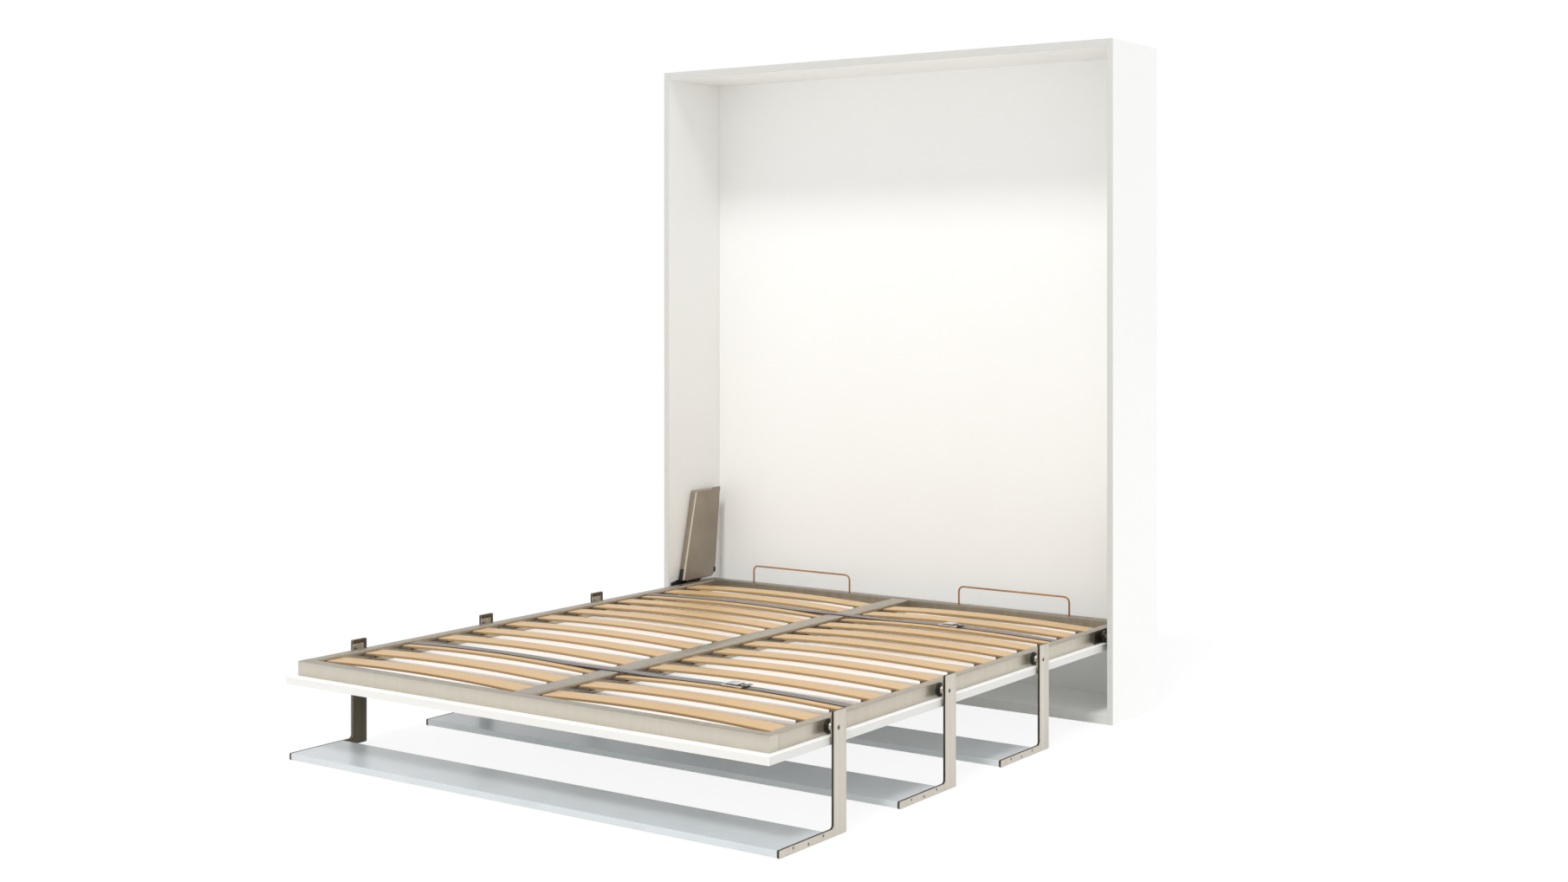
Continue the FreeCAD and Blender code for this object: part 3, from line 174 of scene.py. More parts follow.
def board_finish(name, face, shade, shine, edge=None):
    """Melamine: a faint cloud between two whites, and the cabinet's front band in the edge colour."""
    material, tree, shader = new_finish(name, Roughness=0.42, Specular_IOR_Level=shine)
    where = add(tree, "TexCoord", {}, "Object")
    cloud = add(tree, "TexNoise", {"Vector": where, "Scale": 1 / CLOUD, "Detail": 3.0})
    colour = add(tree, "Mix", {0: cloud, 6: paint(face), 7: paint(shade)}, 2, data_type="RGBA")
    if edge:
        depth = add(tree, "SeparateXYZ", {0: where}, "Y")
        band = add(tree, "Math", {0: depth, 1: cabinet_front + BAND_THICK}, operation="LESS_THAN")
        colour = add(tree, "Mix", {0: band, 6: colour, 7: paint(edge)}, 2, data_type="RGBA")
    pearl = add(tree, "TexNoise", {"Vector": where, "Scale": 1 / PEARL, "Detail": 2.0})
    bump = add(tree, "Bump", {"Height": pearl, "Distance": 0.02 * MM, "Strength": 0.5})
    feed(tree, shader, Base_Color=colour, Normal=bump)
    return material


FINISHES["cabinet board"] = board_finish("white melamine board", "F6F6F4", "F3F3F1", 0.5, "CBCAC6")
# The front panel is painted whiter than the cabinet: painted light that lifts the shade under the slats.
FINISHES["panel painted light"] = board_finish("white melamine panel painted lighter", "FDFDFB", "FBFBF9", 0.1)
# The panel's front and side edges are painted darker than its face: painted shade.
FINISHES["panel edge painted shade"] = board_finish("white melamine edge painted darker", "E1E0DC", "DDDCD8", 0.3)
print("boards:", FINISHES["cabinet board"].name)

# %% [markdown]
# ## Satin nickel on steel tube and plate
#
# The bed frame and the arms are steel with a brushed, nickel-coloured finish. A
# brushed metal blurs its reflections across the brush lines. The lines run
# round each rail and up each arm, so the pattern is stretched along one
# direction and fine across it. The true scratches are a tenth of a millimetre
# wide. They are drawn at 2 to 3 mm, or they would vanish in the render.

# %% Brushed metal
RAIL_MARK, ARM_MARK = 0.3, 0.25


def brushed_finish(name, light, dark, grain, roughness, metallic=1.0):
    """Brushed metal. grain is the size of one brush mark along X, Y and Z in metres."""
    material, tree, shader = new_finish(name, Metallic=metallic, Roughness=roughness)
    where = add(tree, "TexCoord", {}, "Object")
    fine = add(tree, "Mapping", {"Vector": where, "Scale": spans(grain)})
    marks = add(tree, "TexNoise", {"Vector": fine, "Scale": 1.0, "Detail": 4.0})
    wide = add(tree, "Mapping", {"Vector": where, "Scale": spans(8 * size for size in grain)})
    bands = add(tree, "TexNoise", {"Vector": wide, "Scale": 1.0, "Detail": 2.0})
    both = add(tree, "Math", {0: marks, 1: bands}, operation="MULTIPLY")
    spread = add(tree, "MapRange", {"Value": both, "From Min": 0.1, "From Max": 0.42})
    colour = add(tree, "Mix", {0: spread, 6: paint(dark), 7: paint(light)}, 2, data_type="RGBA")
    rough = add(tree, "MapRange", {"Value": marks, "To Min": roughness - 0.06, "To Max": roughness + 0.08})
    bump = add(tree, "Bump", {"Height": marks, "Distance": 0.01 * MM, "Strength": 0.35})
    feed(tree, shader, Base_Color=colour, Roughness=rough, Normal=bump)
    return material


BRUSHED = {
    "rail along": ("brushed nickel rail", "C0BAAD", "BAB3A5", (RAIL_MARK, 3 * MM, RAIL_MARK), 0.3),
    "rail across": ("brushed nickel cross rail", "C8C2B6", "C3BDB0", (3 * MM, RAIL_MARK, RAIL_MARK), 0.3),
    # Rail tops are painted darker than the rails' sides: painted shade.
    "rail top": ("brushed nickel rail top", "BEB7A9", "A79F90", (3 * MM, 3 * MM, RAIL_MARK), 0.34),
    # The head rail is painted darker than the other rails: painted shade, as it lies in the cabinet's shade.
    "head rail": ("dull nickel head rail", "A69D8E", "958C7D", (3 * MM, RAIL_MARK, RAIL_MARK), 0.42),
    "arm": ("brushed nickel arm", "CEC8BE", "C0BAAF", (2 * MM, 2 * MM, ARM_MARK), 0.34),
    # The arms' faces towards the bed are painted darker: painted shade.
    "arm inner": ("unpolished nickel arm", "6F6659", "575045", (2 * MM, 2 * MM, ARM_MARK), 0.42),
    "arm edge": ("burnished cut edge", "5C5549", "3E3831", (2 * MM, 0.05, 0.05), 0.4),
    "fitting": ("dark zinc fitting", "6A6256", "3F3A33", (3 * MM, 9 * MM, 9 * MM), 0.38),
    "bolt": ("nickel bolt", "CFC8BB", "A79F90", (1 * MM, 1 * MM, 1 * MM), 0.28),
    "chrome": ("hard chrome", "E2E2E4", "D4D4D8", (2 * MM, 2 * MM, 0.2), 0.12),
    "dowel": ("turned beech", "DDB484", "C99E6C", (0.03, 2 * MM, 2 * MM), 0.5, 0.0),
}
for finish, values in BRUSHED.items():
    FINISHES[finish] = brushed_finish(*values)
print("metals:", len(FINISHES))

# %% [markdown]
# ## Painted sheet, copper wire, plastic and lacquer
#
# The mechanism cover is pressed sheet with a taupe metallic paint: flakes under
# a clear coat. The hoops are wire with a copper-coloured coat. The small black
# parts are moulded plastic with a spark-eroded grain that kills the shine. The
# shelves are pale blue-grey lacquered board: sprayed lacquer has a very low
# orange-peel wave, about 4 mm across, which softens its reflections. Their front
# faces are painted a little lighter than their tops: painted light.

# %% Paint, wire, plastic and lacquer
PATCH = 0.12


def coated_finish(name, light, dark, metallic, roughness, speck, depth=0.01, coat=0.0):
    """A coat over metal or board, or a moulded plastic: a fine speck in colour and in height."""
    material, tree, shader = new_finish(
        name, Metallic=metallic, Roughness=roughness, Coat_Weight=coat, Coat_Roughness=0.25
    )
    where = add(tree, "TexCoord", {}, "Object")
    fine = add(tree, "TexNoise", {"Vector": where, "Scale": 1 / (speck * MM), "Detail": 3.0})
    soft = add(tree, "TexNoise", {"Vector": where, "Scale": 1 / PATCH, "Detail": 2.0})
    blend = add(tree, "Math", {0: fine, 1: soft}, operation="MULTIPLY")
    spread = add(tree, "MapRange", {"Value": blend, "From Min": 0.12, "From Max": 0.4})
    colour = add(tree, "Mix", {0: spread, 6: paint(dark), 7: paint(light)}, 2, data_type="RGBA")
    bump = add(tree, "Bump", {"Height": fine, "Distance": depth * MM, "Strength": 0.4})
    feed(tree, shader, Base_Color=colour, Normal=bump)
    return material


COATED = {
    "cover": ("taupe metallic paint", "9D9282", "8C8171", 0.55, 0.38, 1.2, 0.01, 0.3),
    # The pale strip is a painted highlight along the cover's bent front edge.
    "trim": ("pale aluminium strip", "E4DDCC", "D6CEBB", 0.7, 0.35, 1.5),
    "copper": ("copper coat on wire", "BE9166", "A47A52", 0.75, 0.32, 1.5),
    "black plastic": ("moulded black plastic", "1C1B1A", "121110", 0.0, 0.45, 0.8, 0.03),
    "holder plastic": ("moulded grey-brown plastic", "6C6358", "544C42", 0.0, 0.5, 1, 0.03),
    "spring paint": ("black gloss paint", "191919", "101010", 0.0, 0.22, 2, 0.01, 0.5),
    "buckle": ("nickel-plated buckle", "DCDCDE", "C6C6CA", 0.85, 0.34, 1.5),
    # Screw sockets are painted near black: painted shade in the recess.
    "socket": ("dark screw socket", "0E0D0B", "080706", 0.2, 0.5, 1),
    "shelf": ("pale grey lacquer", "C8CDD0", "C0C5C8", 0.0, 0.3, 4, 0.02, 0.2),
    # The shelves' front faces are painted lighter than their tops: painted light.
    "shelf edge": ("pale grey edge band", "CFD4D5", "C7CCCE", 0.0, 0.35, 4, 0.02),
}
for finish, values in COATED.items():
    FINISHES[finish] = coated_finish(*values)
print("coats:", FINISHES["cover"].name)

# %% [markdown]
# ## Beech
#
# A slat is glued up from beech veneers and bent while the glue sets. Beech is a
# light pinkish tan with straight grain and short dark flecks. Each slat carries
# an attribute with its own lengthwise, crosswise and thickness position, so that
# the grain follows the bend and no two slats match. On the narrow edges the
# veneers show as fine lines, on a slightly darker, golden ground.

# %% Beech slats
STREAK = (0.35, 7 * MM, 0.05)
GRAIN_LINE = (0.12, 1.6 * MM, 0.01)
FLECK = (6 * MM, 1.0 * MM, 0.01)
VENEERS = 6


def beech_finish(name, thick, half_wide):
    """Beech: streaks, grain lines and flecks on the face, veneer lines on the long edges."""
    material, tree, shader = new_finish(name, Roughness=0.42, Coat_Weight=0.25, Coat_Roughness=0.3)
    grain = add(tree, "Attribute", {}, "Vector", attribute_name="grain")
    tone = add(tree, "Attribute", {}, "Fac", attribute_name="tone")
    broad = add(tree, "Mapping", {"Vector": grain, "Scale": spans(STREAK)})
    streaks = add(tree, "TexNoise", {"Vector": broad, "Scale": 1.0, "Detail": 5.0})
    narrow = add(tree, "Mapping", {"Vector": grain, "Scale": spans(GRAIN_LINE)})
    lines = add(tree, "TexNoise", {"Vector": narrow, "Scale": 1.0, "Detail": 3.0})
    short = add(tree, "Mapping", {"Vector": grain, "Scale": spans(FLECK)})
    flecks = add(tree, "TexNoise", {"Vector": short, "Scale": 1.0})
    wood = add(tree, "Mix", {0: streaks, 6: paint("D6B482"), 7: paint("CAA36E")}, 2, data_type="RGBA")
    line = add(tree, "MapRange", {"Value": lines, "From Min": 0.45, "From Max": 0.75, "To Max": 0.55})
    lined = add(tree, "Mix", {0: line, 6: wood, 7: paint("BE9A6A")}, 2, data_type="RGBA")
    fleck = add(tree, "MapRange", {"Value": flecks, "From Min": 0.66, "From Max": 0.74, "To Max": 0.45})
    flecked = add(tree, "Mix", {0: fleck, 6: lined, 7: paint("B98655")}, 2, data_type="RGBA")
    shade = add(tree, "MapRange", {"Value": tone, "To Max": 0.3})
    face_wood = add(tree, "Mix", {0: shade, 6: flecked, 7: paint("C5A06C")}, 2, data_type="RGBA")
    depth = add(tree, "SeparateXYZ", {0: grain}, "Z")
    turns = add(tree, "Math", {0: depth, 1: 2 * math.pi * VENEERS / thick}, operation="MULTIPLY")
    wave = add(tree, "Math", {0: turns}, operation="SINE")
    veneer = add(tree, "MapRange", {"Value": wave, "From Min": 0.5})
    edge_wood = add(tree, "Mix", {0: veneer, 6: paint("AE8C5C"), 7: paint("8E7042")}, 2, data_type="RGBA")
    across = add(tree, "SeparateXYZ", {0: grain}, "Y")
    reach = add(tree, "Math", {0: across}, operation="ABSOLUTE")
    limits = {"From Min": half_wide - 1.6 * MM, "From Max": half_wide - 0.6 * MM}
    on_edge = add(tree, "MapRange", {"Value": reach} | limits)
    colour = add(tree, "Mix", {0: on_edge, 6: face_wood, 7: edge_wood}, 2, data_type="RGBA")
    bump = add(tree, "Bump", {"Height": lines, "Distance": 0.05 * MM, "Strength": 0.4})
    feed(tree, shader, Base_Color=colour, Normal=bump)
    return material


FINISHES["beech"] = beech_finish("lacquered bent beech", SLAT_THICK, SLAT_WIDE / 2)
print("wood ready")

# %% [markdown]
# ## Polyester webbing
#
# The straps are woven from dull grey yarn. A dark band along each strap's front
# edge is painted shadow: the shade in the gap under the taut strap. Webbing has
# ribs across it, where the weft holds the warp down, and small ridges along it,
# where the warp yarns lie side by side. Both are sine waves of the cloth's own
# length and width, which the strap carries as an attribute. The real yarns are
# 0.8 mm apart. They are drawn at 3 mm so that they show.

# %% Webbing
YARN = 3 * MM
SHADOW_BAND_TO = -14 * MM


def webbing_finish(name):
    """Webbing: two crossed waves of yarn, and a dark band of painted shadow where the cloth's Y is below the
    band's limit.
    """
    material, tree, shader = new_finish(name, Roughness=0.75, Specular_IOR_Level=0.3, Sheen_Weight=0.1)
    cloth = add(tree, "Attribute", {}, "Vector", attribute_name="cloth")
    along = add(tree, "SeparateXYZ", {0: cloth}, "X")
    across = add(tree, "SeparateXYZ", {0: cloth}, "Y")
    waves = []
    for place in (across, along):
        turns = add(tree, "Math", {0: place, 1: 2 * math.pi / YARN}, operation="MULTIPLY")
        waves.append(add(tree, "Math", {0: turns}, operation="SINE"))
    weave = add(tree, "Math", {0: waves[0], 1: waves[1]}, operation="MULTIPLY")
    height = add(tree, "MapRange", {"Value": weave, "From Min": -1.0})
    yarns = add(tree, "Mix", {0: height, 6: paint("7A7573"), 7: paint("8A8583")}, 2, data_type="RGBA")
    # The front edge band is painted shadow: the shade under the taut strap.
    painted_shadow = add(tree, "Math", {0: across, 1: SHADOW_BAND_TO}, operation="LESS_THAN")
    colour = add(tree, "Mix", {0: painted_shadow, 6: yarns, 7: paint("2E2B2A")}, 2, data_type="RGBA")
    bump = add(tree, "Bump", {"Height": height, "Distance": 0.1 * MM, "Strength": 0.3})
    feed(tree, shader, Base_Color=colour, Normal=bump)
    return material


FINISHES["webbing"] = webbing_finish("grey polyester webbing")
print("finishes in all:", len(FINISHES))

# %% [markdown]
# ## From arrays to a piece
#
# Every new surface is a stack of closed rings: an array of rings by points by
# three. Neighbouring rings are joined with four-sided faces, and the first and
# last ring are closed with one flat face each. `piece` puts such forms into one
# mesh, points all faces outwards, keeps edges sharp where the surface turns by
# more than 35 degrees, and says which body it rides on.

# %% From arrays to a piece
SHARP = math.radians(35)


def ring_faces(rings, points):
    """Quads between neighbouring closed rings, numbered ring by ring."""
    ring, point = np.meshgrid(np.arange(rings - 1), np.arange(points), indexing="ij")
    after = (point + 1) % points
    here, ahead = ring * points, (ring + 1) * points
    return np.stack([here + point, here + after, ahead + after, ahead + point], -1).reshape(-1, 4)


def skin(rings):
    """A closed form from stacked rings: (points, faces)."""
    count, around = rings.shape[:2]
    ends = [list(range(around)), list(range((count - 1) * around, count * around))]
    return rings.reshape(-1, 3), ring_faces(count, around).tolist() + ends


def loop_skin(rings):
    """A closed form whose last ring meets its first, such as a link or a frame."""
    count, around = rings.shape[:2]
    faces = ring_faces(count + 1, around) % (count * around)
    return rings.reshape(-1, 3), faces.tolist()


def joined(forms):
    """Several forms as one: face numbers shift by the points that come before."""
    starts = np.cumsum([0] + [len(points) for points, _ in forms[:-1]])
    faces = []
    for (_, some), start in zip(forms, starts):
        faces += [[index + int(start) for index in face] for face in some]
    return np.concatenate([points for points, _ in forms]), faces


def mesh_from(name, points, faces):
    """A mesh whose faces all point outwards."""
    mesh = bpy.data.meshes.new(name)
    mesh.from_pydata(points.tolist(), [], faces)
    work = bmesh.new()
    work.from_mesh(mesh)
    bmesh.ops.recalc_face_normals(work, faces=work.faces)
    work.to_mesh(mesh)
    work.free()
    return mesh


def finish_piece(thing, finish, body, replaced=(), attributes=None):
    """Gives a mesh object its finish, attributes and body, and hides the parts it replaces."""
    mesh = thing.data
    for label, values in (attributes or {}).items():
        kind, field = ("FLOAT_VECTOR", "vector") if np.ndim(values) == 2 else ("FLOAT", "value")
        layer = mesh.attributes.new(label, kind, "POINT")
        layer.data.foreach_set(field, np.asarray(values, np.float32).ravel())
    mesh.shade_smooth()
    mesh.set_sharp_from_angle(angle=SHARP)
    for name in [finish] if isinstance(finish, str) else finish:
        mesh.materials.append(FINISHES[name])
    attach(thing, body)
    if replaced:
        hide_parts(*replaced)
    return thing


def piece(name, forms, finish, body, replaced=(), attributes=None):
    """One object from one or more forms."""
    points, faces = joined(forms)
    thing = bpy.data.objects.new(name, mesh_from(name, points, faces))
    bpy.context.scene.collection.objects.link(thing)
    return finish_piece(thing, finish, body, replaced, attributes)


print("piece maker ready")

# %% [markdown]
# ## Outlines with true corners
#
# A plate, a tube's section and a cover all start as an outline with rounded
# corners. Drawing the outline in by a small amount must keep every corner's
# centre where it is: the radius of an outward corner shrinks and that of an
# inward one grows. That makes eased edges easy: rings that are drawn in by a
# quarter circle.


# %% Outlines
def outline(corners, radii, inset=0.0, steps=5):
    """Points of a closed outline, counter-clockwise. Each corner is an arc that is tangent to both sides.
    Its centre stays. Its radius is r - inset where the outline turns left, r + inset where it turns right."""
    corners = np.asarray(corners, float)
    radii = np.broadcast_to(np.asarray(radii, float), len(corners))
    come = corners - np.roll(corners, 1, 0)
    come /= np.linalg.norm(come, axis=1)[:, None]
    leave = np.roll(come, -1, 0)
    turn = np.arctan2(come[:, 0] * leave[:, 1] - come[:, 1] * leave[:, 0], (come * leave).sum(1))
    way = np.sign(turn)
    inward = np.stack([-come[:, 1], come[:, 0]], 1)
    tangent = radii * np.tan(np.abs(turn) / 2)
    centre = corners - come * tangent[:, None] + inward * (way * radii)[:, None]
    angle = turn[:, None] * np.linspace(0, 1, steps)
    spoke = np.stack(
        [
            inward[:, :1] * np.cos(angle) - inward[:, 1:] * np.sin(angle),
            inward[:, :1] * np.sin(angle) + inward[:, 1:] * np.cos(angle),
        ],
        -1,
    )
    size = (radii - way * inset) * way
    return (centre[:, None] - spoke * size[:, None, None]).reshape(-1, 2)


def oblong(width, height, radius, inset=0.0, steps=4, centre=(0.0, 0.0)):
    """A rectangle with rounded corners around a centre."""
    half = np.array([[-1, -1], [1, -1], [1, 1], [-1, 1]]) * [width / 2, height / 2]
    return outline(half + np.array(centre), radius, inset, steps)


def eased_depths(low, high, ease, steps=4):
    """Depths and insets of the rings of a plate whose two edges are quarter rounds."""
    angle = np.linspace(0, math.pi / 2, steps)
    inset = ease * (1 - np.sin(angle))
    rise = ease * (1 - np.cos(angle))
    return np.r_[low + rise, (high - rise)[::-1]], np.r_[inset, inset[::-1]]


def plate(shape, low, high, ease, axes):
    """A plate: shape(inset) gives its outline, low and high its depth, and axes, such as "yzx",
    says which axis the outline's two directions and the depth lie along."""
    depths, insets = eased_depths(low, high, ease)
    rings = np.empty((len(depths), len(shape(0.0)), 3))
    for ring, (depth, inset) in enumerate(zip(depths, insets)):
        rings[ring][:, ["xyz".index(axis) for axis in axes]] = np.c_[
            shape(inset), np.full(rings.shape[1], depth)
        ]
    return skin(rings)


def box_across(low, high, axis):
    """A box seen along one axis: its size and centre across it, its two ends, and the axes' numbers."""
    axes = [number for number, name in enumerate("xyz") if name != axis] + ["xyz".index(axis)]
    low, high = np.array(low)[axes], np.array(high)[axes]
    return (high - low)[:2], ((low + high) / 2)[:2], (low[2], high[2]), axes


def bar_between(low, high, axis, edge, ease):
    """A straight bar with rounded long edges that fills a box along one axis."""
    size, centre, ends, axes = box_across(low, high, axis)

    def section(inset):
        return oblong(*size, edge, inset, centre=centre)

    return plate(section, *ends, ease, ["xyz"[number] for number in axes])


print("outline of a unit square has", len(oblong(1, 1, 0.1)), "points")

# %% [markdown]
# ## Turned and carried forms
#
# Bolts, bushes and caps are turned parts: a radius that changes along an axis.
# Wire and webbing are carried parts: a section that follows a path and stays
# square to it. Both are one array operation.


# %% Turned and carried forms
def turned(depths, radii, centre, around=32, hexes=()):
    """Rings around an axis along X, each with one depth and one radius. A ring listed in hexes is a hexagon:
    its radius at an angle is its half width over the cosine of the angle to the nearest flat."""
    angle = np.linspace(0, 2 * math.pi, around, endpoint=False)
    size = np.repeat(np.asarray(radii, float)[:, None], around, 1)
    flat = np.mod(angle, math.pi / 3) - math.pi / 6
    size[list(hexes)] /= np.cos(flat)
    y, z = centre
    x = np.broadcast_to(np.asarray(depths)[:, None], size.shape)
    return skin(np.stack([x, y + size * np.cos(angle), z + size * np.sin(angle)], -1))


def turned_ring(profile, centre, around=40):
    """A closed profile of (depth, radius) swung all the way round an axis along X."""
    angle = np.linspace(0, 2 * math.pi, around, endpoint=False)[:, None]
    depth, size = profile[:, 0], profile[:, 1]
    x = np.broadcast_to(depth, (around, len(depth)))
    return loop_skin(np.stack([x, centre[0] + size * np.cos(angle), centre[1] + size * np.sin(angle)], -1))


def bent(points, radius, steps=7):
    """An open path in a plane with an arc at each inner corner."""
    radii = np.r_[0, np.full(len(points) - 2, radius), 0]
    return outline(points, radii, steps=steps)[steps - 1 : 1 - steps]


def carried(section, path, y):
    """A section of (across, up) carried along a path in the XZ plane. At each point the section's first
    direction is Y and its second is the path's normal, the tangent turned a quarter to the left."""
    tangent = np.gradient(path, axis=0)
    tangent /= np.linalg.norm(tangent, axis=1)[:, None]
    normal = np.stack([-tangent[:, 1], tangent[:, 0]], 1)
    along = path[:, None] + normal[:, None] * section[None, :, 1:]
    across = np.broadcast_to(y + section[:, 0], along.shape[:2])
    return np.stack([along[..., 0], across, along[..., 1]], -1)


def path_lengths(path):
    """How far along the path each of its points is."""
    return np.r_[0, np.cumsum(np.linalg.norm(np.diff(path, axis=0), axis=1))]


def drilled(thing, cutters):
    """Takes the cutters' forms out of a piece's mesh, as drills and saws do."""
    points, faces = joined(cutters)
    tool = bpy.data.objects.new("tool", mesh_from("tool", points, faces))
    bpy.context.scene.collection.objects.link(tool)
    cut = thing.modifiers.new("cut", "BOOLEAN")
    cut.operation, cut.solver, cut.object = "DIFFERENCE", "EXACT", tool
    bpy.context.view_layer.update()
    result = bpy.data.meshes.new_from_object(thing.evaluated_get(bpy.context.evaluated_depsgraph_get()))
    thing.modifiers.clear()
    thing.data = result
    bpy.data.objects.remove(tool)
    return thing


print("a quarter bend has", len(bent([(0, 0), (1, 0), (1, 1)], 0.1)), "points")

# %% [markdown]
# ## The welded frame
#
# The frame is rectangular steel tube. Rolled tube has small round edges, and
# they are what makes a tube look like metal: each catches a thin line of light.
# The side rails and the beam butt against the cross rails, so their section is
# carried straight between them. The cross rails are closed at their ends.

# %% The welded frame
TUBE_WALL = 2 * MM
TUBE_ROUND = TUBE_EDGE + 0.6 * MM


def open_tube(name, axis):
    """A tube with open ends that fills a node's box: outer rings one way, inner rings back again."""
    size, centre, (start, end), axes = box_across(*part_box(name), axis)
    outer = oblong(*size, TUBE_ROUND, centre=centre)
    inner = oblong(*size, TUBE_ROUND, TUBE_WALL, centre=centre)
    rings = np.empty((4, len(outer), 3))
    for ring, (shape, depth) in zip(rings, [(outer, start), (outer, end), (inner, end), (inner, start)]):
        ring[:, axes] = np.c_[shape, np.full(len(shape), depth)]
    return loop_skin(rings)


def normals(thing):
    """The face normals of a piece as an array."""
    values = np.zeros(len(thing.data.polygons) * 3)
    thing.data.polygons.foreach_get("normal", values)
    return values.reshape(-1, 3)


def refinish(thing, choice):
    """Says which of its finishes each face has."""
    thing.data.polygons.foreach_set("material_index", np.asarray(choice, np.int32))


TUBES = {"side_rail_left": "rail along", "side_rail_right": "rail along", "centre_beam": "rail along"}
# The head rail's darker finish is painted shade.
TUBES |= {"foot_rail": "rail across", "head_rail": "head rail"}
for node, finish in TUBES.items():
    low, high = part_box(node)
    closed = finish != "rail along"
    form = bar_between(low, high, "x", TUBE_EDGE, TUBE_EDGE / 2) if closed else open_tube(node, "y")
    tube = piece("welded_" + node, [form], [finish, "rail top"], "bed", [node])
    if finish != "head rail":
        # Upward faces take the darker rail top finish: painted shade.
        refinish(tube, normals(tube)[:, 2] > 0.95)
print("foot rail:", [round(b - a, 3) for a, b in zip(foot_low, foot_high)])

# %% [markdown]
# ## Slats
#
# Each slat is bent up by 10 mm in the middle, which is what makes the base
# springy. Its height is a parabola of its length, and its section turns with
# the slope. Its long edges are well rounded and its ends slightly. The slats of
# a row are made from one function, and each has its own place in the grain.

# %% Slats
SLAT_CROWN = 10 * MM
SLAT_END_EDGE = 1.5 * MM
rng = np.random.default_rng(7)


def slat(low_x, high_x, y_mid, top_z):
    """A bowed bar. With t from -1 to 1 along it, its middle line is at the crown's height times 1 - t * t,
    and each section leans by that line's slope."""
    ends, insets = eased_depths(low_x, high_x, SLAT_END_EDGE)
    between = np.linspace(ends[3], ends[4], 26)[1:-1]
    x = np.r_[ends[:4], between, ends[4:]]
    insets = np.r_[insets[:4], np.zeros(len(between)), insets[4:]]
    section = np.stack([oblong(SLAT_WIDE, SLAT_THICK, SLAT_EDGE, inset, 5) for inset in insets])
    half = (high_x - low_x) / 2
    t = (x - low_x) / half - 1
    middle = top_z - SLAT_THICK / 2 - SLAT_CROWN * t**2
    slope = -2 * SLAT_CROWN * t / half
    lean = np.stack([-slope, np.ones(len(x))], 1) / np.sqrt(1 + slope**2)[:, None]
    across, up = section[..., 0], section[..., 1]
    along, height = x[:, None] + up * lean[:, :1], middle[:, None] + up * lean[:, 1:]
    rings = np.stack([along, y_mid + across, height], -1)
    grain = np.stack([np.broadcast_to(x[:, None] + 3 * rng.random(), across.shape), across, up], -1)
    tone = np.full(across.size, rng.random())
    return skin(rings), grain.reshape(-1, 3), tone


slat_nodes = sorted(name for name in NODES if name.startswith("slat_row"))
slat_fronts = []
for node in slat_nodes:
    low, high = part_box(node)
    fronts = sorted({round(low.y, 5), round(high.y - SLAT_WIDE, 5)})
    slat_fronts += fronts
    made = [
        slat(*ends, front + SLAT_WIDE / 2, high.z)
        for front in fronts
        for ends in ((-high.x, -beam_high.x - SLAT_END_GAP), (beam_high.x + SLAT_END_GAP, high.x))
    ]
    forms, grains, tones = zip(*made)
    carried_values = {"grain": np.concatenate(grains), "tone": np.concatenate(tones)}
    piece("bent_" + node, forms, "beech", "bed", [node], carried_values)
print("slat rows:", len(slat_fronts))

# %% [markdown]
# ## Slat holders
#
# A holder is a moulded trough that the slat's end drops into. Its section is a
# U with rounded lips. The same section is carried along X for all of them.

# %% Slat holders
holder_low, holder_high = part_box("slat_holders")
HOLDER_LONG = 46 * MM
HOLDER_PLAY = 0.5 * MM


def holder_section(front, inset=0.0):
    """The trough's outline in Y and Z: eight corners, the outer and upper ones rounded."""
    low, top = holder_low.z, holder_high.z
    near, far = front - HOLDER_PLAY - HOLDER_WALL, front + SLAT_WIDE + HOLDER_PLAY + HOLDER_WALL
    inner, outer = near + HOLDER_WALL, far - HOLDER_WALL
    corners = [(near, low), (far, low), (far, top), (outer, top), (outer, low + HOLDER_WALL)]
    corners += [(inner, low + HOLDER_WALL), (inner, top), (near, top)]
    radii = np.array([2, 2, 1.3, 1.3, 1, 1, 1.3, 1.3]) * MM
    return outline(corners, radii, inset, 3)


troughs = []
for front in slat_fronts:
    for start in (-rail_low.x, -beam_high.x - HOLDER_LONG, beam_high.x, rail_low.x - HOLDER_LONG):
        end = start + HOLDER_LONG
        troughs.append(plate(lambda inset: holder_section(front, inset), start, end, 0.8 * MM, "yzx"))
piece("moulded_slat_holders", troughs, "holder plastic", "bed", ["slat_holders"])
print("holders:", len(troughs))

# %% [markdown]
# ## Arms
#
# An arm is cut from 8 mm steel plate. Its faces are brushed, and its cut edges
# are burnished darker. Its face towards the bed is painted darker: painted shade.
# Its outline has tight corners and a wider round in the crook. The holes for the
# pivot bolt and the three shelf screws are drilled and countersunk in the mesh,
# so the heads sit in them as real ones do.

# %% Arms
ARM_WIDE, ARM_REAR = 57 * MM, 35.5 * MM
FOOT_HIGH = 20 * MM
HOLE_GAP = 0.25 * MM
FIRST_SCREW, SCREW_STEP = 59.5 * MM, 65.25 * MM
SCREW_HEIGHTS = (13.5 * MM, 8 * MM, 13.5 * MM)
SCREW_SIDES = 30
SOCKET_RINGS = (5, 6)
FOOT_SCREW = {"head": 4.5 * MM, "shank": 2 * MM, "deep": 2.5 * MM, "long": 30 * MM, "hex": 2.9 * MM}
PIVOT_BOLT = {"head": 7 * MM, "shank": 4 * MM, "deep": 4 * MM, "long": 24 * MM, "hex": 4.9 * MM}
pin_low, pin_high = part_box("main_pivot_pins")
PIVOT_Y, PIVOT_Z = (pin_low.y + pin_high.y) / 2, (pin_low.z + pin_high.z) / 2


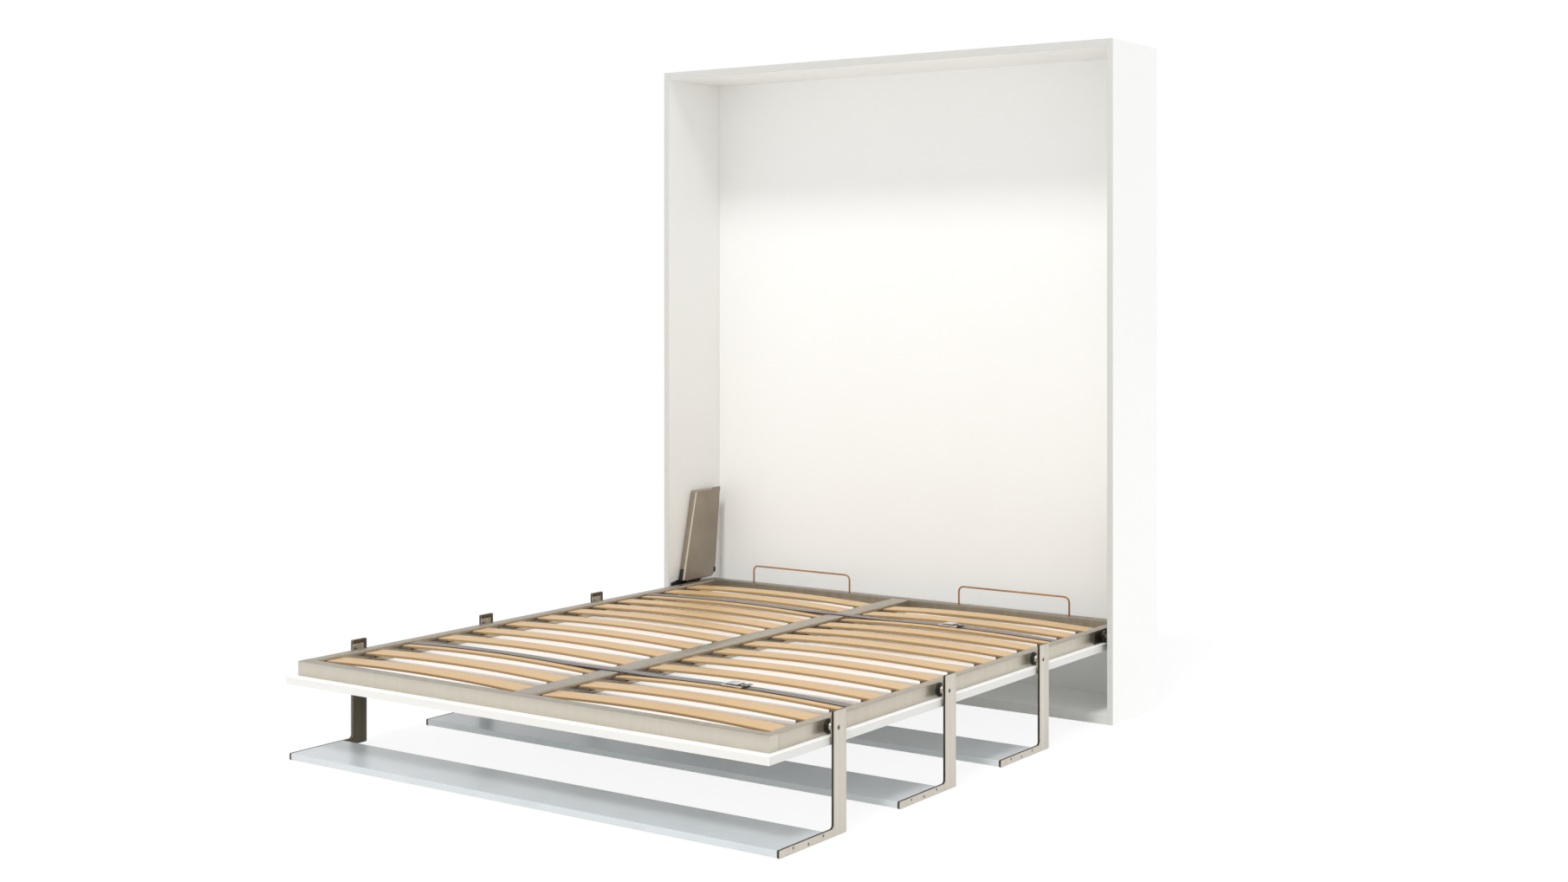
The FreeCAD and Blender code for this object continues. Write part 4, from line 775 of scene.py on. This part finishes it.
def screw_spots(tip, rear):
    """The places of an arm's screws in Y and Z: three in the foot, and the bolt at the pivot's height."""
    foot = [(tip + FIRST_SCREW + SCREW_STEP * step, z) for step, z in enumerate(SCREW_HEIGHTS)]
    return [(FOOT_SCREW, spot) for spot in foot] + [(PIVOT_BOLT, (rear - ARM_REAR, PIVOT_Z))]


def bore(kind, spot, side, face):
    """A countersunk hole: wide at the arm's outer face, narrowing over the head's depth."""
    depths = np.array([1.0 * MM, 0, -kind["deep"], -kind["long"]])
    slant = (kind["head"] - kind["shank"]) / kind["deep"]
    radii = np.array([kind["head"] + slant * MM, kind["head"], kind["shank"], kind["shank"]]) + HOLE_GAP
    return turned(side * (face + depths), radii, spot)


def screw(kind, spot, side, face):
    """A countersunk screw: rings from the tip out to the head's rim and down its hexagon socket."""
    head, shank, deep, hexagon = kind["head"], kind["shank"], kind["deep"], kind["hex"]
    depths = np.array([-kind["long"], -deep, -0.25 * MM, 0, 0, -0.3 * MM, -0.8 * deep])
    radii = [shank, shank, head - 0.15 * MM, head - 0.4 * MM, hexagon + 0.4 * MM, hexagon, hexagon]
    return turned(side * (face + depths), radii, spot, SCREW_SIDES, SOCKET_RINGS)


for number in SHELVES:
    screws, body = [], f"shelf_{number}"
    for side_name, side in SIDES.items():
        node = f"shelf_arm_{number}_{side_name}"
        low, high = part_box(node)
        crook, foot_top = high.y - ARM_WIDE, low.z + FOOT_HIGH
        corners = [(low.y, low.z), (high.y, low.z), (high.y, high.z), (crook, high.z)]
        corners += [(crook, foot_top), (low.y, foot_top)]
        radii = np.array([4, 4, 4, 4, 10, 4]) * MM
        form = plate(lambda inset: outline(corners, radii, inset, 8), low.x, high.x, ARM_EDGE, "yzx")
        arm = piece("cut_" + node, [form], ["arm", "arm edge", "arm inner"], body, [node])
        face = max(abs(low.x), abs(high.x))
        spots = screw_spots(low.y, high.y)
        drilled(arm, [bore(kind, spot, side, face) for kind, spot in spots])
        outward = normals(arm)[:, 0] * side
        # Faces towards the bed take the arm inner finish, a painted shade.
        refinish(arm, np.where(np.abs(outward) < 0.15, 1, np.where(outward < -0.9, 2, 0)))
        arm.data.set_sharp_from_angle(angle=SHARP)
        screws += [screw(kind, spot, side, face) for kind, spot in spots]
    kept_name = f"shelf_screws_{number}"
    made = piece(f"socket_screws_{number}", screws, ["bolt", "socket"], body, [kept_name])
    per_screw = len(made.data.polygons) // len(screws)
    in_screw = np.arange(len(made.data.polygons)) % per_screw
    wall_from, wall_to = (ring * SCREW_SIDES for ring in SOCKET_RINGS)
    # Socket walls and floor take the near-black finish: painted shade.
    refinish(made, ((in_screw >= wall_from) & (in_screw < wall_to)) | (in_screw == per_screw - 1))
print("arm faces:", len(arm.data.polygons), "screws:", len(screws) * len(SHELVES))

# %% [markdown]
# ## Bushes and axles
#
# Between each arm and the rail is a black moulded bush, and the axle's bright
# end shows on the rail's inner face in a small black ring. The bushes stay with
# the bed. The axle turns with its shelf. It is one turned part: inner end,
# crank disc, journal and a ball-shaped shoulder. A small plate with a round
# lower end is welded to it behind the arm.

# %% Bushes and axles
BUSH_R, BUSH_HOLE, BUSH_THICK = 19 * MM, 8.15 * MM, 3 * MM
GUIDE_R, GUIDE_HOLE, GUIDE_THICK = 7 * MM, 4.2 * MM, 0.8 * MM
WASHER_R, WASHER_HOLE, WASHER_THICK = 17 * MM, 10.1 * MM, 4 * MM
CRANK_THROW = 12 * MM * math.cos(math.radians(45))


def ring_profile(x, hole, radius, thick, edge):
    """The section of a ring in depth and radius, centred at the depth x."""
    return oblong(thick, radius - hole, edge, centre=(x, (radius + hole) / 2))


rings = []
for side in SIDES.values():
    for number in SHELVES:
        spot = (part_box(f"shelf_arm_{number}_right")[1].y - ARM_REAR, PIVOT_Z)
        flange = ring_profile(rail_high.x + BUSH_THICK / 2, BUSH_HOLE, BUSH_R, BUSH_THICK, 0.9 * MM)
        guide = ring_profile(rail_low.x, GUIDE_HOLE, GUIDE_R, GUIDE_THICK, 0.35 * MM)
        rings += [turned_ring(profile * [side, 1], spot) for profile in (flange, guide)]
    washer_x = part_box("pivot_bushes")[1].x - WASHER_THICK / 2
    washer = ring_profile(washer_x, WASHER_HOLE, WASHER_R, WASHER_THICK, 0.8 * MM)
    rings.append(turned_ring(washer * [side, 1], (PIVOT_Y, PIVOT_Z)))
piece("moulded_pivot_bushes", rings, "black plastic", "bed", ["pivot_bushes"])
# The axle's profile in millimetres, outwards from the rail's inner face.
BALL_AT, BALL_R, NECK_R = 40, 11, 6.5
BALL_TURN = np.linspace(math.radians(114), math.asin(NECK_R / BALL_R), 9)
BALL = [(BALL_AT + BALL_R * math.cos(turn), BALL_R * math.sin(turn)) for turn in BALL_TURN]
STUB = [(-0.9, 2), (-0.7, 3.4), (-0.2, 4), (18.8, 4)]
CRANK_DISC = [(18.8, 16), (19.3, 16.5), (21.5, 16.5), (22, 16)]
JOURNAL = [(22, 8), (35.4, 8)]
NECK = [(53, NECK_R), (53.2, 8), (55, 8)]
AXLE = np.array(STUB + CRANK_DISC + JOURNAL + BALL + NECK) * MM
CRANK_PIN = np.array([(12, 2.6), (12.4, 3), (20, 3)]) * MM
AXLE_PLATE_THICK = 3 * MM
for number in SHELVES:
    forms = []
    axle_low, axle_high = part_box(f"shelf_axles_{number}")
    y = (axle_low.y + axle_high.y) / 2
    for side in SIDES.values():
        forms.append(turned(side * (rail_low.x + AXLE[:, 0]), AXLE[:, 1], (y, PIVOT_Z), 40))
        pin_spot = (y + CRANK_THROW, PIVOT_Z + CRANK_THROW)
        forms.append(turned(side * (rail_low.x + CRANK_PIN[:, 0]), CRANK_PIN[:, 1], pin_spot, 20))
        half, top = (axle_high.y - axle_low.y) / 2, axle_high.z
        corners = [(y - half, axle_low.z), (y + half, axle_low.z), (y + half, top), (y - half, top)]
        radii = np.array([half, half, 2 * MM, 2 * MM])
        ends = sorted((side * (axle_high.x - AXLE_PLATE_THICK), side * axle_high.x))
        forms.append(plate(lambda inset: outline(corners, radii * 0.99, inset, 10), *ends, 0.5 * MM, "yzx"))
    name = f"shelf_axles_{number}"
    piece("turned_" + name, forms, "bolt", f"shelf_{number}", [name])
print("bushes:", len(rings))

# %% [markdown]
# ## Mechanism covers
#
# Each cover is a shallow pressed cap. Pressing rounds the rim by about 4 mm all
# round, while the sheet stays 1.5 mm thick. The rings run from the inside of
# the face out to the edge and back over the rim to the outside of the face,
# which gives one closed sheet. The underside is sawn open for the gas spring.

# %% Mechanism covers
COVER_CORNERS = np.array([(14, 27), (178, 27), (199, 40), (231, 351), (91, 351)]) * MM
COVER_RADII = np.array([5, 5, 6, 8, 6]) * MM
SHEET = 1.5 * MM
RIM = 4 * MM
PIVOT = np.array([PIVOT_Y, PIVOT_Z])
TAB = np.array([(182, 342), (229.5, 342), (231, 358), (182, 358)]) * MM
TAB_RADII = np.array([2, 2, 6, 4]) * MM
SPRING_SLOT = {"low": np.array((20, 20)) * MM, "high": np.array((195, 29)) * MM}
CORNER_CAP = {"corners": [(10, 26), (20, 24), (31, 66), (21, 69)], "depths": (12, 27)}
HEEL_CAP = {"corners": [(189, 42), (199, 42), (199, 60), (189, 60)], "depths": (-1.5, 1)}
cover_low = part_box("mechanism_cover_right")[0].x


def cover_outline(inset):
    """The cover's outline in Y and Z, drawn in by inset."""
    return outline(COVER_CORNERS + PIVOT, COVER_RADII, inset, 5)


for side_name, side in SIDES.items():
    node = f"mechanism_cover_{side_name}"
    low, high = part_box(node)
    face, wall = (high.x, low.x) if side < 0 else (low.x, high.x)
    angle = np.linspace(0, math.pi / 2, 7)
    outer_x = np.r_[abs(wall), abs(face) + RIM * (1 - np.sin(angle))]
    outer_in = np.r_[0, RIM * (1 - np.cos(angle))]
    inner_r = RIM - SHEET
    inner_x = np.r_[abs(wall), abs(face) + SHEET + inner_r * (1 - np.sin(angle))][::-1]
    inner_in = np.r_[SHEET, SHEET + inner_r * (1 - np.cos(angle))][::-1]
    depths, insets = np.r_[inner_x, outer_x], np.r_[inner_in, outer_in]
    flat = np.stack([cover_outline(inset) for inset in insets])
    x = np.broadcast_to(side * depths[:, None], flat.shape[:2])
    shell = skin(np.concatenate([x[..., None], flat], -1))
    cover = piece("pressed_" + node, [shell], "cover", "cabinet", [node])
    foot_from, foot_to = SPRING_SLOT["low"] + PIVOT, SPRING_SLOT["high"] + PIVOT
    opening = oblong(*(foot_to - foot_from), 1 * MM, centre=(foot_from + foot_to) / 2)
    slot_x = sorted((side * (abs(face) + RIM), side * (abs(wall) + 5 * MM)))
    drilled(cover, [plate(lambda inset: opening, *slot_x, 0.1 * MM, "yzx")])
    cover.data.set_sharp_from_angle(angle=SHARP)
    ends = sorted((side * (abs(face) - 0.4 * MM), side * (abs(face) + SHEET)))
    tab = plate(lambda inset: outline(TAB + PIVOT, TAB_RADII, inset, 5), *ends, 0.5 * MM, "yzx")
    piece(f"cover_tab_{side_name}", [tab], "cover", "cabinet")
print("cover:", round(abs(wall) - abs(face), 4), "deep")

# %% [markdown]
# ## Strips and caps of the covers
#
# A pale strip on the front edge of each cover is a painted highlight: it stands
# for the light caught by the cover's bent front edge. It gets narrower towards
# its top. Small black caps close the cover's lower front corner and its heel.

# %% Strips and caps of the covers
STRIP_LOW, STRIP_HIGH = np.array((14.7, 30)) * MM, np.array((89.7, 345)) * MM
STRIP_WIDE, STRIP_TAPER = 8 * MM, 4 * MM
STRIP_THICK, STRIP_END_THICK = 1.6 * MM, 1.0 * MM


def cap_form(cap, side):
    """One end cap: a plate whose outline stands in Y and Z from the pivot."""

    def shape(inset):
        return outline(np.array(cap["corners"]) * MM + PIVOT, 1.5 * MM, inset, 4)

    ends = sorted(side * (cover_low + np.array(cap["depths"]) * MM))
    return plate(shape, *ends, 0.6 * MM, "yzx")


strips, caps = [], []
for side in SIDES.values():
    along = (STRIP_HIGH - STRIP_LOW) / np.linalg.norm(STRIP_HIGH - STRIP_LOW)
    outward = np.array([-along[1], along[0]])
    rings = []
    for share in (0, 0.004, 0.996, 1):
        wide = STRIP_WIDE - STRIP_TAPER * share
        thick = STRIP_THICK if 0 < share < 1 else STRIP_END_THICK
        section = oblong(wide, thick, 0.45 * MM, centre=(cover_low + 3 * MM + wide / 2, thick / 2))
        spot = STRIP_LOW + (STRIP_HIGH - STRIP_LOW) * share + PIVOT
        flat = spot + section[:, 1:] * outward
        rings.append(np.c_[side * section[:, 0], flat])
    strips.append(skin(np.stack(rings)))
    caps += [cap_form(cap, side) for cap in (CORNER_CAP, HEEL_CAP)]
piece("pressed_cover_edge_strips", strips, "trim", "cabinet", ["cover_edge_strips"])
piece("moulded_cover_end_caps", caps, "black plastic", "cabinet", ["cover_end_caps"])
print("strips and caps:", len(strips), len(caps))

# %% [markdown]
# ## Straps and buckles
#
# Each strap is a band of webbing that holds the mattress. It starts at one side
# rail's inner face, lies on a row of slats and follows their bow, crosses the
# beam, and ends at the other rail. It is joined by a plated buckle: two links
# side by side and a flat lever over their middle. One end turns back round the
# middle of the buckle and the other round its outer bar.

# %% Straps and buckles
WEB = (38 * MM, 1.6 * MM)
WIRE = 4.4 * MM
BUCKLE_WIDE = 46 * MM
web_section = oblong(*WEB, 0.7 * MM, steps=4)
buckle_low, buckle_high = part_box("strap_buckles")
middle_bar = (buckle_low.x + buckle_high.x) / 2
outer_bar = buckle_high.x - WIRE / 2
TURN = 3.2 * MM
TAIL = 12 * MM
LEVER_LONG, LEVER_THICK = 38 * MM, 1.8 * MM
FOLD = 1.6 * MM
STRAP_END = rail_low.x - 1.5 * MM
LIFT_FROM, LIFT_OVER = beam_high.x, 300 * MM
slat_low, slat_high = beam_high.x + SLAT_END_GAP, rail_low.x - SLAT_END_GAP
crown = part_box("slat_row_13")[1].z


def lay(x):
    """Height of a strap's middle. It lies on the slats, crown - 10 mm * t * t with t from -1 to 1 along a
    slat, and is drawn over the beam's top: over 300 mm the beam's share goes 3 r r - 2 r r r."""
    away = np.abs(np.asarray(x, float))
    t = 2 * (away - slat_low) / (slat_high - slat_low) - 1
    on_slat = crown - SLAT_CROWN * t**2
    share = np.clip((LIFT_FROM + LIFT_OVER - away) / LIFT_OVER, 0, 1)
    share = share**2 * (3 - 2 * share)
    return on_slat + (rail_high.z - on_slat) * share + WEB[1] / 2


def strap_path(end, bar, back):
    """From a rail's inner face, along the slats, up round a bar of the buckle and a short way back."""
    way = math.copysign(1, bar - end)
    near = end + way * 6 * MM
    down = (end, lay(end) - 7 * MM)
    tuck = bent([down, (end, lay(end)), (near, lay(near))], FOLD)
    far = bar - way * 6 * MM
    x = np.linspace(near, far, 90)[1:-1]
    over = lay(bar) + WIRE + WEB[1] + 0.6 * MM
    fold = [(far, lay(far)), (bar + way * TURN, lay(bar)), (bar + way * TURN, over), (back, over)]
    return np.concatenate([tuck[:-1], np.stack([x, lay(x)], 1), bent(fold, FOLD)[1:]])


def band(path, y, start=0.0):
    """A length of webbing along a path, with its cloth coordinates: how far along, across and deep."""
    rings = carried(web_section, path, y)
    shape = rings.shape[:2]
    along = np.broadcast_to(start + path_lengths(path)[:, None], shape)
    across = np.broadcast_to(web_section[:, 0], shape)
    depth = np.broadcast_to(web_section[:, 1], shape)
    return skin(rings), np.stack([along, across, depth], -1).reshape(-1, 3)


def link(low_x, high_x, y, z):
    """A rounded rectangular link of round wire: a circle carried round a closed outline in X and Y."""
    centre = ((low_x + high_x) / 2, y)
    turn = np.linspace(0, 2 * math.pi, 12, endpoint=False)
    spots = WIRE / 2 * np.stack([np.cos(turn), np.sin(turn)], 1)
    rings = [oblong(high_x - low_x, BUCKLE_WIDE, 4 * MM, WIRE / 2 - out, 6, centre) for out, _ in spots]
    flat = np.stack(rings, 1)
    up = np.broadcast_to(z + spots[:, 1], flat.shape[:2])
    return loop_skin(np.concatenate([flat, up[..., None]], -1))


for spot in ("front", "rear"):
    node = f"mattress_strap_{spot}"
    low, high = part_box(node)
    y = (low.y + high.y) / 2
    long_way = strap_path(-STRAP_END, middle_bar, middle_bar - TAIL)
    short_way = strap_path(STRAP_END, outer_bar, outer_bar + TAIL)
    made = [band(long_way, y), band(short_way, y, 2.0)]
    cloth = {"cloth": np.concatenate([values for _, values in made])}
    piece("webbing_" + node, [form for form, _ in made], "webbing", "bed", [node], cloth)
    bar_z = lay(middle_bar) + (WIRE + WEB[1]) / 2 + 0.3 * MM
    near_link = link(buckle_low.x, middle_bar + WIRE / 2, y, bar_z)
    far_link = link(middle_bar - WIRE / 2, buckle_high.x, y, bar_z)
    half, lever_z = BUCKLE_WIDE / 2 - WIRE, bar_z + WIRE / 2 + WEB[1] + 0.8 * MM
    lever_from = (middle_bar - LEVER_LONG / 2, y - half, lever_z)
    lever_to = (middle_bar + LEVER_LONG / 2, y + half, lever_z + LEVER_THICK)
    lever = bar_between(lever_from, lever_to, "x", 0.8 * MM, 0.5 * MM)
    forms = [near_link, far_link, lever]
    piece(f"plated_buckle_{spot}", forms, "buckle", "bed", ["strap_buckles"])
print("strap:", round(2 * STRAP_END, 3), "across the frame")

# %% [markdown]
# ## Pillow hoops
#
# A hoop is one length of thick wire with two bends, pushed into holes in the
# head rail. A circle is carried along the bent path.

# %% Pillow hoops
HOOP_WIRE_R, HOOP_BEND = 3.1 * MM, 18 * MM
turn = np.linspace(0, 2 * math.pi, 20, endpoint=False)
wire_section = HOOP_WIRE_R * np.stack([np.cos(turn), np.sin(turn)], 1)
for side_name in SIDES:
    node = f"pillow_hoop_{side_name}"
    low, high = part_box(node)
    left, right, top = low.x + HOOP_WIRE_R, high.x - HOOP_WIRE_R, high.z - HOOP_WIRE_R
    path = bent([(left, low.z), (left, top), (right, top), (right, low.z)], HOOP_BEND, 12)
    form = skin(carried(wire_section, path, (low.y + high.y) / 2))
    piece("wire_" + node, [form], "copper", "bed", [node])
print("hoop:", round(right - left, 3), "wide")

# %% [markdown]
# ## Finishes for the parts that keep their shape
#
# Boards, plates, springs and small steel parts already have their true shape,
# so they keep their mesh and only get their finish.

# %% Finishes for the kept parts
KEPT = {
    "cabinet board": ["cabinet_side_left", "cabinet_side_right", "cabinet_top", "cabinet_bottom"]
    + ["cabinet_back"],
    "panel painted light": ["front_panel"],
    "dowel": ["cabinet_dowels"],
    "shelf": [f"shelf_board_{number}" for number in SHELVES],
    "bolt": ["cabinet_fasteners", "panel_screws", "main_pivot_pins"],
    "fitting": ["wall_brackets", "mechanism_plate_left", "mechanism_plate_right"]
    + ["hinge_bracket_left", "hinge_bracket_right", "tie_rod_left", "tie_rod_right"],
    "black plastic": ["bearing_blocks"],
    "spring paint": ["gas_spring_cylinder_left", "gas_spring_cylinder_right"],
    "chrome": ["gas_spring_rod_left", "gas_spring_rod_right"],
}
for finish, names in KEPT.items():
    for name in names:
        NODES[name].data.materials.clear()
        NODES[name].data.materials.append(FINISHES[finish])
# The shelves' front faces get a lighter finish than their tops: painted light.
EDGED = {f"shelf_board_{number}": "shelf edge" for number in SHELVES} | {"front_panel": "panel edge painted shade"}
for name, finish in EDGED.items():
    board = NODES[name]
    board.data.materials.append(FINISHES[finish])
    faces = normals(board)
    # The panel's front and side edges get a darker finish than its face: painted shade.
    refinish(board, (faces[:, 1] < -0.9) | ((np.abs(faces[:, 0]) > 0.9) & (finish == "panel edge painted shade")))
print("kept parts:", sum(map(len, KEPT.values())))

# %% [markdown]
# ## Studio
#
# The air is white: a sky that gives a little more light from above than from
# the side. One sun with soft shadows stands high at the front right. The floor
# is two planes. The seen one glows white and throws no light on the bed. The
# one under it isn't seen, and throws back the light that a real floor would.


# %% Studio
FLOOR_REACH = 40


def floor_plane(name, height, white, glow):
    """A large flat floor. glow is how much light it gives off by itself."""
    mesh = bpy.data.meshes.new(name)
    corners = [(x * FLOOR_REACH, y * FLOOR_REACH, height) for x, y in ((-1, -1), (1, -1), (1, 1), (-1, 1))]
    mesh.from_pydata(corners, [], [(0, 1, 2, 3)])
    finish, _, shader = new_finish(name, Roughness=1.0, Base_Color=paint(white), Specular_IOR_Level=0.0)
    shader.inputs["Emission Color"].default_value = (1, 1, 1, 1)
    shader.inputs["Emission Strength"].default_value = glow
    mesh.materials.append(finish)
    thing = bpy.data.objects.new(name, mesh)
    bpy.context.scene.collection.objects.link(thing)
    thing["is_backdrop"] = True
    return thing


seen_floor = floor_plane("white floor", -0.5 * MM, "666666", 0.86)
seen_floor.visible_diffuse = seen_floor.visible_glossy = seen_floor.visible_shadow = False
lit_floor = floor_plane("floor that throws light back", -1 * MM, "E6E6E6", 0.22)
lit_floor.visible_camera = False

KEY_AZIMUTH, KEY_HEIGHT = math.radians(12), math.radians(56)
key = bpy.data.lights.new("key", "SUN")
key.energy, key.angle = 1.35, math.radians(12)
key_light = bpy.data.objects.new("key", key)
bpy.context.scene.collection.objects.link(key_light)
key_light.rotation_euler = (math.pi / 2 - KEY_HEIGHT, 0, KEY_AZIMUTH)

SKY_LOW, SKY_HIGH = 0.76, 0.92
world = bpy.data.worlds.new("white studio")
world.use_nodes = True
sky = world.node_tree
seen = add(sky, "LightPath", {}, "Is Camera Ray")
upward = add(sky, "SeparateXYZ", {0: add(sky, "TexCoord", {}, "Generated")}, "Z")
glow = add(sky, "MapRange", {"Value": upward, "To Min": SKY_LOW, "To Max": SKY_HIGH})
strength = add(sky, "MapRange", {"Value": seen, "To Min": glow, "To Max": 1.0})
sky.links.new(strength, sky.nodes["Background"].inputs["Strength"])
sky.nodes["Background"].inputs["Color"].default_value = (1, 1, 1, 1)
bpy.context.scene.world = world
bpy.context.scene.view_settings.view_transform = "Standard"

# %% [markdown]
# ## Camera
#
# The camera stands at the foot's right, level, and turned towards the head.
# It is level so that upright edges stay upright, and the lens is shifted down
# instead of tilted.

# %% Camera
lens = bpy.data.cameras.new("camera")
lens.lens = 45.43
lens.shift_y = -0.099
camera = bpy.data.objects.new("camera", lens)
bpy.context.scene.collection.objects.link(camera)
camera.location = (3.6103, -5.8442, 1.3803)
camera.rotation_euler = (math.pi / 2, 0, math.radians(34.97))
bpy.context.scene.camera = camera

# %% [markdown]
# ## Sizes and the end
#
# The frame's box and the finished model's box are written down side by side, to
# see that nothing has grown.

# %% Sizes and the end
model_low, model_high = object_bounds()
boxes = {"cad": [list(cad_low), list(cad_high)], "visual": [list(model_low), list(model_high)]}
grown = np.array(boxes["visual"]) - np.array(boxes["cad"])
print("grown by", grown.round(4).tolist())
